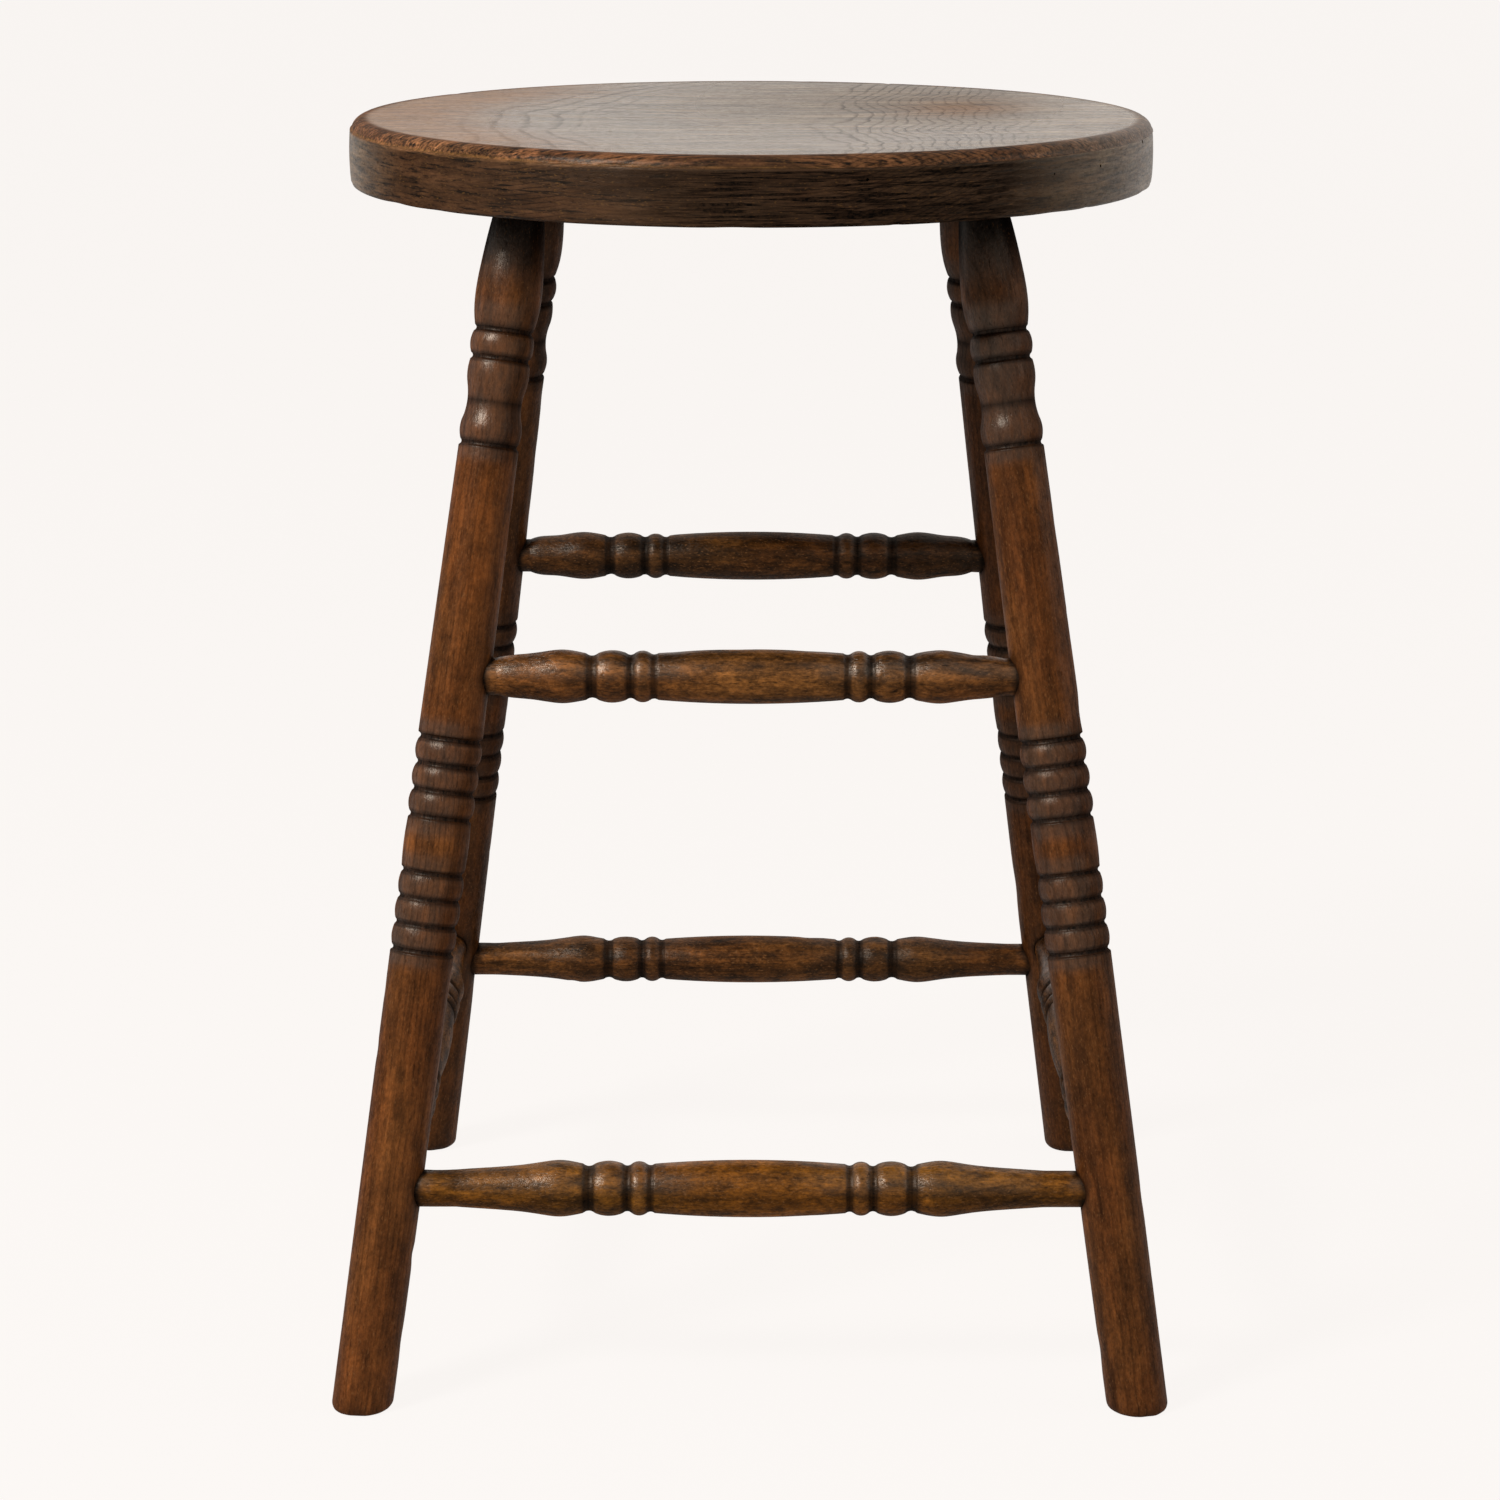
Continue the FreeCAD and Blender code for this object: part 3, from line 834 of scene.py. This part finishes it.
seat_points = points_of(skins["seat"])
across, deep = seat_points[:, 0], seat_points[:, 1]
reach = np.hypot(across, deep)
from_top = seat_high.z - seat_points[:, 2]
side = soft_step(from_top, *side_depths) * (reach > outer_zone)
round_over = soft_step(reach, *(seat_radius - inset for inset in round_insets)) * (1 - side)
on_top = (1 - side) * (1 - round_over)
darker_right = soft_step(across, *darker_stretch)
far_right = soft_step(across, *top_right_sheen_stretch)
right_end = soft_step(across, *right_stretch)
left_end = soft_step(-across, *left_stretch)
scuffed = soft_step(across, *scuffs_from) * (1 - soft_step(across, *scuffs_to))
print("corners on the seat's side", int((side > 0.5).sum()), "round", int((round_over > 0.5).sum()))

# %% [markdown]
# The side is darkened with dirt and painted shade, more towards the right. Both ends stay lighter,
# which is painted sheen where the paper's light grazes them. Dirt is thickest at the lower edge and
# round the sockets of the legs below, and the worm holes are dark inside with dirt and painted shade.

# %% Dirt, painted shade and painted sheen of the seat
side_dirt_and_shade, side_darker_right = 0.74, 0.20
round_darkening, round_darker_right = 0.18, 0.38
right_end_painted_sheen, left_end_painted_sheen = 0.7, 0.35
low_edge_dirt, low_edge_depths = 0.75, (0.028, 0.0335)
socket_dirt_reach, underside_depth = 0.008, 0.02
hole_margin, hole_share = 1.05, 0.8

# The side is darkened with dirt and painted shade, and more towards the right.
dirt_and_shade = side * (side_dirt_and_shade + side_darker_right * darker_right)
dirt_and_shade += round_over * (round_darkening + round_darker_right * darker_right)
# Painted sheen: both ends of the side are left lighter, where the paper's light grazes them.
dirt_and_shade *= 1 - right_end_painted_sheen * right_end - left_end_painted_sheen * left_end
dirt_and_shade = np.maximum(dirt_and_shade, low_edge_dirt * soft_step(from_top, *low_edge_depths))
for bottom, way, radius in worm_holes:
    up_the_hole = (seat_points - bottom) @ way
    off_axis = np.linalg.norm(seat_points - bottom - np.outer(up_the_hole, way), axis=1)
    inside = (off_axis < radius * hole_margin) & (up_the_hole < hole_share * hole_depth)
    dirt_and_shade = np.maximum(dirt_and_shade, 1.0 * inside)
for leg in legs:
    away = np.clip(outside(leg, seat_points), 0, None)
    dirt_and_shade = np.maximum(dirt_and_shade, np.exp(-away / socket_dirt_reach) * (from_top > underside_depth))
store(skins["seat"], "dirt_and_shade", np.clip(dirt_and_shade, 0, 1))
print("mean grime on the seat's side", round(float(dirt_and_shade[side > 0.5].mean()), 2))

# %% [markdown]
# The top has gone grey where it is sat on, and stayed brown along its left rim and in a patch at the
# right. It shines where it is grey, duller at the patch behind, and the ledge under the round is
# worn pale on the left, which also paints the highlight line that it catches there. The ends of the
# side are greyed and the top at the far right is lightened, both as painted sheen of grazing light.
# Painting these by hand would need an image, which a formula doesn't.

# %% Grey, brown and polish of the seat
rim_reach, rim_stretch = (0.105, 0.170), (0.05, 0.14)
brown_patch = {"x": 0.108, "y": 0.045, "size_x": 0.030, "size_y": 0.045}
dull_patch = {"x": 0.09, "y": 0.08, "size_x": 0.08, "size_y": 0.09}
shine_rises = {"front": (-0.02, 0.12), "left": (0.0, 0.08), "right": (0.12, 0.18)}
left_brown, right_brown, brown_wear = 0.95, 0.6, 1.7
side_grey, side_grey_right, right_end_sheen_grey, left_end_sheen_grey, round_end_sheen_grey = 0.10, 0.23, 0.6, 0.7, 0.5
top_shine, front_shine, left_shine, right_shine = 0.89, 0.10, 0.08, 0.16
brown_dullness, patch_dullness = 0.30, 0.26
side_dullness, scuffed_shine, round_dullness, round_end_shine, end_shine = 0.84, 0.22, 0.70, 0.3, 0.6
top_tone, side_darkness, top_right_painted_sheen = 0.95, 0.20, 0.28
ledge_depth, ledge_height, ledge_reach, ledge_fade = 0.0054, 0.0006, 0.003, (-0.02, 0.09)


def patch(x, y, size_x, size_y):
    """A soft round patch on the top, with its middle at x and y."""
    return np.exp(-((across - x) / size_x) ** 2 - ((deep - y) / size_y) ** 2)


left_rim = soft_step(reach, *rim_reach) * soft_step(-across, *rim_stretch)
brown = np.maximum(left_brown * left_rim, right_brown * patch(**brown_patch))
# Painted sheen: the ends of the side and of the round are greyed where grazing light shines on them.
ends_sheen_grey = right_end_sheen_grey * right_end + left_end_sheen_grey * left_end
grey = on_top * (1 - brown) + side * (side_grey + side_grey_right * darker_right + ends_sheen_grey)
grey += round_end_sheen_grey * round_over * right_end
shine = top_shine + front_shine * soft_step(-deep, *shine_rises["front"])
shine -= patch_dullness * patch(**dull_patch) + brown_dullness * brown
shine += left_shine * soft_step(-across, *shine_rises["left"])
shine += right_shine * soft_step(across, *shine_rises["right"])
polish = shine * (1 - side * (side_dullness - scuffed_shine * scuffed))
polish *= 1 - round_over * (round_dullness - round_end_shine * right_end)
polish += end_shine * side * (left_end + right_end)
# Painted highlight: a pale line along the ledge on the left, where it is also worn.
ledge_wear_and_highlight = np.exp(-((from_top - ledge_depth) / ledge_height) ** 2) * (reach > seat_radius - ledge_reach)
ledge_wear_and_highlight *= 1 - soft_step(across, *ledge_fade)
store(skins["seat"], "wear", brown_wear * brown * on_top + ledge_wear_and_highlight)
store(skins["seat"], "grey", np.clip(grey, 0, 1))
store(skins["seat"], "polish", np.clip(polish, 0, 1))
# The tone darkens the side with dirt and painted shade, and lightens the top at the far right as painted
# sheen.
store(skins["seat"], "tone", top_tone - side_darkness * side + top_right_painted_sheen * far_right * on_top)
print("mean polish of the seat's top", round(float(polish[on_top > 0.5].mean()), 2))

# %% [markdown]
# Each turned piece came from its own place in a tree. The heart of the tree lies beside the piece,
# because wood with the heart inside would have split. The seat is a flat board from far outside the
# heart, so its frame only turns X down into the wood and Z along the grain, from left to right.

# %% Grain
heart_beside = (0.018, 0.032)
height_in_tree = (0.1, 0.9)
grain_slant = 0.012
for node in legs + rungs:
    maker = random.Random(node + " tree")
    start, end = axes[node]
    beside = (maker.uniform(*heart_beside), 0, -maker.uniform(*height_in_tree))
    tree = frame_along(start, end - start, maker.uniform(0, 2 * math.pi)) @ Matrix.Translation(beside)
    store_grain(skins[node], tree @ Matrix.Rotation(maker.uniform(-grain_slant, grain_slant), 4, "Y"))
print("the hearts of the trees lie", heart_beside, "m beside the pieces")

# %% [markdown]
# The dirt that was rubbed into the seat's side runs along its rim. So on the side the grain's X is
# the way round the rim, and its Y, which would cut across, is squeezed to a tenth.

# %% Grain of the seat
board = Matrix(((0, 0, 1), (0, 1, 0), (-1, 0, 0))).to_4x4()
side_below_top, squeeze = 0.0060, 0.1
along_rim = seat_points.copy()
on_side = (from_top > side_below_top) & (reach > outer_zone)
along_rim[on_side, 0] = seat_radius * np.arcsin(np.clip(across[on_side] / reach[on_side], -1, 1))
along_rim[on_side, 1] *= squeeze
store_grain(skins["seat"], Matrix.Translation((0, 0, seat_high.z)) @ board, along_rim)
print("corners with grain along the rim:", int(on_side.sum()))

# %% [markdown]
# ## Writing materials as arithmetic
# A node tree is a formula, so it reads best as one. A Wire stands for one output of a node, and
# adding or multiplying wires makes the Math nodes. Any other node comes from Sheet.node, which takes
# its type, its settings, and what goes into its inputs.

# %% A small language for materials
class Wire:
    """One number, vector or colour that flows out of a node."""

    def __init__(self, sheet, socket):
        self.sheet = sheet
        self.socket = socket

    def math(self, operation, *others):
        return self.sheet.node("ShaderNodeMath", {"operation": operation}, dict(enumerate((self, *others))))

    def __add__(self, other):
        return self.math("ADD", other)

    def __sub__(self, other):
        return self.math("SUBTRACT", other)

    def __rsub__(self, other):
        return self.sheet.number(other).math("SUBTRACT", self)

    def __mul__(self, other):
        return self.math("MULTIPLY", other)

    def __truediv__(self, other):
        return self.math("DIVIDE", other)

    def __rtruediv__(self, other):
        return self.sheet.number(other).math("DIVIDE", self)

    def __pow__(self, other):
        return self.math("POWER", other)

    __radd__ = __add__
    __rmul__ = __mul__

    def rise(self, low, high, bottom=0.0, top=1.0):
        """Goes smoothly from bottom to top while this wire goes from low to high."""
        return self.sheet.node("ShaderNodeMapRange", {"interpolation_type": "SMOOTHSTEP"},
                               {0: self, 1: low, 2: high, 3: bottom, 4: top})


class Sheet:
    """The node tree of a material or of the world."""

    def __init__(self, owner):
        self.owner = owner
        owner.use_nodes = True
        self.tree = owner.node_tree
        self.tree.nodes.clear()

    def node(self, kind, settings=None, inputs=None, output=0):
        node = self.tree.nodes.new(kind)
        for key, value in (settings or {}).items():
            setattr(node, key, value)
        for key, value in (inputs or {}).items():
            if isinstance(value, Wire):
                self.tree.links.new(value.socket, node.inputs[key])
            else:
                node.inputs[key].default_value = value
        return Wire(self, node.outputs[output])

    def number(self, value):
        wire = self.node("ShaderNodeValue")
        wire.socket.default_value = value
        return wire

    def mix(self, factor, first, second, blend="MIX"):
        """Colours mixed by a factor. Inputs 6 and 7 of the Mix node are its two colours."""
        return self.node("ShaderNodeMix", {"data_type": "RGBA", "blend_type": blend, "clamp_factor": True},
                         {0: factor, 6: first, 7: second}, output=2)

    def stretched(self, place, across, along):
        """Coordinates scaled one way across the trunk and another way along it."""
        return self.node("ShaderNodeVectorMath", {"operation": "MULTIPLY"},
                         {0: place, 1: (across, across, along)})

    def noise(self, place, across, along, detail=2.0, roughness=0.5, output=0):
        """Noise with so many cells per metre across the trunk and along it. It is near 0.5 on average."""
        return self.node("ShaderNodeTexNoise", {"noise_dimensions": "3D"},
                         {"Vector": self.stretched(place, across, along), "Scale": 1.0, "Detail": detail,
                          "Roughness": roughness}, output=output)

    def shade(self, tone, amount):
        """A colour made lighter or darker by a number."""
        return self.node("ShaderNodeVectorMath", {"operation": "SCALE"}, {0: tone, 3: amount})

    def parts(self, vector):
        """The X, Y and Z of a vector."""
        outputs = self.node("ShaderNodeSeparateXYZ", inputs={0: vector}).socket.node.outputs
        return [Wire(self, output) for output in outputs]

    def attribute(self, name, vector=False):
        return self.node("ShaderNodeAttribute", {"attribute_name": name}, output=1 if vector else 2)

    def finish(self, shader, kind="ShaderNodeOutputMaterial"):
        output = self.tree.nodes.new(kind)
        self.tree.links.new(shader.socket, output.inputs["Surface"])
        return self.owner


def colour(red, green, blue):
    """A colour picked on a screen, as the linear light that a node wants."""
    def linear(v):
        v /= 255
        return v / 12.92 if v <= 0.04045 else ((v + 0.055) / 1.055) ** 2.4
    return (linear(red), linear(green), linear(blue), 1.0)


print("a screen's mid grey is", round(colour(128, 128, 128)[0], 3), "in linear light")

# %% [markdown]
# ## Old waxed wood
# Wood is rings seen from the side. Each ring is pale where it grew in spring and dark where it grew
# in late summer, and the dark part ends sharply. Turning cuts through the rings, so they show as
# long streaks on a shaft and as ovals where the piece swells. Over that lie fine fibres, open pores
# that hold dark wax, slow changes of tone, dirt and painted shade in the hollows, and pale crests.
# Everything is measured in metres in the tree's own frame, so all the pieces share one scale.

# %% Growth rings
def trunk_rings(sheet, place, ring_width=0.0026, wander=0.004, wobble=1.6):
    """Rings between the heart and each place, and how clearly they show. The heart wanders."""
    drift = sheet.noise(place, across=6.0, along=3.0, detail=1.0, output=1)
    drifted = sheet.node("ShaderNodeVectorMath", {"operation": "MULTIPLY_ADD"},
                         {0: drift, 1: (wander, wander, 0.0), 2: place})
    x, y, _ = sheet.parts(drifted)
    uneven = sheet.noise(place, across=70.0, along=20.0, detail=3.0) * wobble
    clearness = sheet.noise(place, across=40.0, along=12.0).rise(0.35, 0.65, bottom=0.25)
    return (x * x + y * y) ** 0.5 / ring_width + uneven, clearness


arch_tip, ripple, uneven_year, rings_per_metre = 0.05, 0.022, 1.5, 6.0
arch_curve, arch_wander = {"left": 1.35, "right": 0.3}, {"left": 0.015, "right": 0.050}
arch_rings, arch_clearness, least_clearness = {"left": 6.5, "right": 17.0}, {"left": 0.75, "right": 0.8}, 0.12


def board_rings(sheet, place, ring_width=0.0024):
    """Rings of a flat board. They lie nearly level in it, and rise to its face in two bunches of arches."""
    depth, y, z = sheet.parts(place)
    middle = y + arch_tip
    wander = z.rise(0.0, 0.07, arch_wander["left"], arch_wander["right"])
    drift = (sheet.noise(place, across=9.0, along=4.0, detail=1.0) - 0.5) * wander
    ripples = (sheet.noise(place, across=16.0, along=10.0, detail=4.0) - 0.5) * ripple
    curve = z.rise(-0.02, 0.06, arch_curve["left"], arch_curve["right"])
    along = z - middle * middle * curve + drift + ripples
    left_arches = along.rise(-0.170, -0.02) * arch_rings["left"]
    right_arches = along.rise(0.02, 0.17) * arch_rings["right"]
    uneven_years = (sheet.noise(place, across=7.0, along=26.0, detail=2.0) - 0.5) * uneven_year
    rings = depth / ring_width + left_arches + right_arches + along * rings_per_metre + uneven_years
    left_bunch = along.rise(-0.150, -0.125) * (1 - along.rise(-0.112, -0.07))
    right_bunch = along.rise(0.030, 0.046) * (1 - along.rise(0.11, 0.15))
    fading = sheet.noise(place, across=30.0, along=60.0, detail=3.0).rise(0.35, 0.65, bottom=0.45)
    bunches = left_bunch * arch_clearness["left"] + right_bunch * arch_clearness["right"]
    return rings, bunches * fading + least_clearness


print("the seat's arches rise through", sum(arch_rings.values()), "rings")

# %% [markdown]
# The colour is built up from broad to fine: rings and streaks, a red cast, the grey of weather, then
# specks, fibres and pores, and dirt last of all. The grey also holds painted sheen at the seat's ends,
# the tone holds painted shade and sheen, the dirt also holds painted shade, and the pale wear holds
# the painted highlight of the seat's ledge. Dull and shiny wood are mixed by the polish that the
# corners carry, so that wax shines only where it was rubbed. One shader with a varying roughness
# would spread each highlight instead of hiding it.

# %% Wood
red_tint, red_shows, streak_shows = colour(240, 196, 176), 0.35, 0.34
weather_and_sheen_pale, weather_and_sheen_dark = colour(122, 106, 83), colour(58, 44, 34)
grey_rings, grey_streaks, least_grey, mottled_grey, grey_calms = 0.75, 0.22, 0.6, 0.4, 0.35
broad_shows, speck_shows, fleck_shows, pore_shows = 0.70, 0.45, 0.24, 0.30
dirt_and_shade_colour, worn_wood, wax_sheen = colour(9, 7, 6), colour(140, 96, 58), colour(255, 238, 218)
least_wear, mottled_wear = 0.08, 0.4
clean_specks, clean_lines, scored_lines = 0.16, 0.12, 0.43
high = {"fibre": 0.3, "speck": 0.7, "mottle": 0.5, "pore": 0.8, "ring": 0.3}
bump_strength = 0.7
dirt_dulls, pore_dulls, ring_dulls = 0.85, 0.4, 0.3
speck_gloss, streak_gloss, mean_gloss = 0.3, 0.2, 0.9
unpolished_roughness, dirt_roughness = 0.12, 0.15


def grain_noises(sheet, place):
    """Noises from broad to fine. Each is near 0 or 1 in most places."""
    return (sheet.noise(place, across=80.0, along=11.0, detail=4.0, roughness=0.6).rise(0.3, 0.7),
            sheet.noise(place, across=210.0, along=20.0, detail=5.0, roughness=0.65).rise(0.34, 0.66),
            sheet.noise(place, across=170.0, along=80.0, detail=5.0, roughness=0.65).rise(0.28, 0.72),
            sheet.noise(place, across=700.0, along=380.0, detail=3.0, roughness=0.7).rise(0.3, 0.7),
            sheet.noise(place, across=700.0, along=26.0, detail=4.0, roughness=0.6).rise(0.32, 0.68),
            sheet.noise(place, across=1200.0, along=240.0, detail=1.0).rise(0.60, 0.74),
            sheet.noise(place, across=1300.0, along=500.0, detail=1.0).rise(0.60, 0.74),
            sheet.noise(place, across=30.0, along=9.0, detail=3.0).rise(0.35, 0.68))


def wood(name, pale, dark, rings=trunk_rings, ring_depth=0.3, worn=worn_wood, ior=1.48, roughness=0.27,
         relief=0.00013, contrast=1.0, mottling=0.8, lines=0.2):
    """Old waxed wood, from its ring pattern and from the maps that the corners carry."""
    sheet = Sheet(bpy.data.materials.new(name))
    place = sheet.attribute("grain", vector=True)
    maps = ("dirt_and_shade", "wear", "polish", "grey", "tone")
    dirt_and_shade, wear, polish, grey, tone = (sheet.attribute(m) for m in maps)
    count, clearness = rings(sheet, place)
    phase = count.math("FRACT")
    summer = phase.rise(0.6, 0.9) * (1 - phase.rise(0.92, 1.0)) * clearness
    broad, streak, mottle, speck, fibre, pore, fleck, red = grain_noises(sheet, place)

    body = sheet.mix(summer * ring_depth + streak * streak_shows, pale, dark)
    body = sheet.mix(red * red_shows, body, sheet.mix(1.0, body, red_tint, "MULTIPLY"))
    weather_and_sheen_grey = sheet.mix(summer * grey_rings + streak * grey_streaks, weather_and_sheen_pale, weather_and_sheen_dark)
    body = sheet.mix(grey * (mottle * mottled_grey + least_grey), body, weather_and_sheen_grey)
    evenness = (grey * -grey_calms + 1) * contrast
    shade = ((broad - 0.5) * broad_shows * evenness + 1) * ((mottle - 0.5) * mottling * evenness + 1)
    shade = shade * ((speck - 0.5) * speck_shows * evenness + 1) * ((fibre - 0.5) * lines * evenness + 1)
    # The tone paints shade on the pieces and under the seat, and sheen on the seat's top at the far right.
    body = sheet.shade(body, shade * tone)
    body = sheet.mix(wear * (mottle * mottled_wear + least_wear), body, worn)
    body = sheet.mix(fleck * fleck_shows * evenness, body, worn)
    body = sheet.mix(pore * pore_shows * evenness, body, dirt_and_shade_colour)
    scored = (fibre.rise(0.25, 0.75) - 0.5) * dirt_and_shade * dirt_and_shade
    dirt_and_shade_share = dirt_and_shade * (1 - (1 - speck) * clean_specks - clean_lines * lines + scored * scored_lines * lines)
    # Dirt darkens the colour here; in the hollows and on the seat's side this is also painted shade.
    body = sheet.mix(dirt_and_shade_share, body, dirt_and_shade_colour)

    height = fibre * high["fibre"] + speck * high["speck"] + mottle * high["mottle"]
    height = height - pore * high["pore"] - summer * high["ring"]
    bump = sheet.node("ShaderNodeBump",
                      inputs={"Strength": bump_strength, "Distance": relief, "Height": height})
    gloss = polish * (1 - dirt_and_shade_share * dirt_and_shade_share * dirt_dulls) * (1 - pore * pore_dulls) * (1 - summer * ring_dulls)
    gloss = gloss * (speck * speck_gloss - streak * streak_gloss + mean_gloss)
    spread = (1 - polish) * unpolished_roughness + dirt_and_shade_share * dirt_roughness + roughness
    dull = sheet.node("ShaderNodeBsdfPrincipled", inputs={
        "Base Color": body, "Roughness": 1.0, "Specular IOR Level": 0.0, "Normal": bump})
    shiny = sheet.node("ShaderNodeBsdfPrincipled", inputs={
        "Base Color": body, "Roughness": spread, "IOR": ior, "Specular Tint": wax_sheen, "Normal": bump})
    return sheet.finish(sheet.node("ShaderNodeMixShader", inputs={0: gloss, 1: dull, 2: shiny}))


leg_wood = wood("leg_wood", colour(106, 62, 27), colour(42, 24, 12))
rung_wood = wood("rung_wood", colour(100, 62, 26), colour(42, 26, 12), ior=1.56, roughness=0.26,
                 relief=0.00018, contrast=1.8)
golden_rung_wood = wood("golden_rung_wood", colour(114, 71, 18), colour(54, 32, 10), ior=1.5, roughness=0.26,
                        relief=0.00017, contrast=1.7)
seat_wood = wood("seat_wood", colour(112, 74, 46), colour(40, 26, 18), rings=board_rings, ring_depth=0.6,
                 worn=colour(158, 112, 60), ior=1.53, roughness=0.26, relief=0.00008, contrast=1.4,
                 mottling=0.25, lines=1.4)
print("nodes in the seat's wood:", len(seat_wood.node_tree.nodes))

# %% [markdown]
# ## Dress the frame
# Each new skin rides on the one body of the stool and takes the place of its solid.

# %% Materials and places
for node, skin in skins.items():
    if node == "seat":
        slot, material = "seat_wood", seat_wood
    elif node in legs:
        slot, material = "leg_wood", leg_wood
    else:
        slot, material = "rung_wood", golden_rung_wood if node == "front_lower_rung" else rung_wood
    skin.data.materials.clear()
    skin.data.materials.append(material)
    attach(skin, "root")
    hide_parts(node)
print(len(skins), "pieces ride on the stool's one body")

# %% [markdown]
# ## Floor, world and lamps
# The stool was photographed on seamless pale paper. Paper bright enough to look white would throw
# too much light up at the legs, so most of its brightness is shown only to the camera and to
# reflections, and the rest is plain paper that carries the soft shadow.

# %% Stage
paper_colour, bounce_colour = colour(249, 245, 242), colour(215, 212, 210)
paper_glow, glow_share = 1.05, 0.94
room_light = 0.20
floor_half = 30.0


def shown_rays(sheet):
    """1 for what the camera and reflections see, and 0 for the light that falls on the stool."""
    rays = sheet.node("ShaderNodeLightPath").socket.node.outputs
    reflected = (Wire(sheet, rays[kind]) for kind in ("Is Glossy Ray", "Is Transmission Ray"))
    return sum(reflected, Wire(sheet, rays["Is Camera Ray"])).math("MINIMUM", 1.0)


def paper():
    sheet = Sheet(bpy.data.materials.new("paper"))
    seen = shown_rays(sheet)
    plain = sheet.node("ShaderNodeBsdfDiffuse", inputs={"Color": bounce_colour})
    bright = sheet.node("ShaderNodeEmission", inputs={"Color": paper_colour, "Strength": paper_glow})
    shown = sheet.node("ShaderNodeMixShader", inputs={0: glow_share, 1: plain, 2: bright})
    return sheet.finish(sheet.node("ShaderNodeMixShader", inputs={0: seen, 1: plain, 2: shown}))


floor_mesh = bpy.data.meshes.new("floor")
floor_corners = [(x * floor_half, y * floor_half, 0) for x, y in ((-1, -1), (1, -1), (1, 1), (-1, 1))]
floor_mesh.from_pydata(floor_corners, [], [(0, 1, 2, 3)])
floor = bpy.data.objects.new("floor", floor_mesh)
floor_mesh.materials.append(paper())
bpy.context.scene.collection.objects.link(floor)

world = bpy.data.worlds.new("pale_room")
bpy.context.scene.world = world
room = Sheet(world)
level = shown_rays(room).rise(0.0, 1.0, bottom=room_light)
background = room.node("ShaderNodeBackground", inputs={"Color": paper_colour, "Strength": level})
room.finish(background, "ShaderNodeOutputWorld")
print("floor", 2 * floor_half, "m wide, room light", room_light)

# %% [markdown]
# Two softboxes light the stool: a key from the front left, high up, that draws the highlights on the
# beads, and a weak, broad fill from the right. Brighter lamps would clip the pale paper.

# %% Lamps
stool_middle = (0, 0, 0.35)


def lamp(name, place, size, watts):
    """A square softbox that faces the middle of the stool."""
    data = bpy.data.lights.new(name, "AREA")
    data.size = size
    data.energy = watts
    light = bpy.data.objects.new(name, data)
    light.location = place
    light.rotation_euler = (Vector(stool_middle) - Vector(place)).to_track_quat("-Z", "Y").to_euler()
    bpy.context.scene.collection.objects.link(light)


lamp("key", place=(-1.80, -1.60, 2.3), size=0.7, watts=90)
lamp("fill", place=(2.5, -0.4, 1.2), size=1.4, watts=14)
bpy.context.scene.view_settings.view_transform = "Standard"

# %% [markdown]
# ## Finish
# The dressed stool has to fill the same box as the solid model, and the scene is brought up to date.

# %% Finish
bpy.context.view_layer.update()
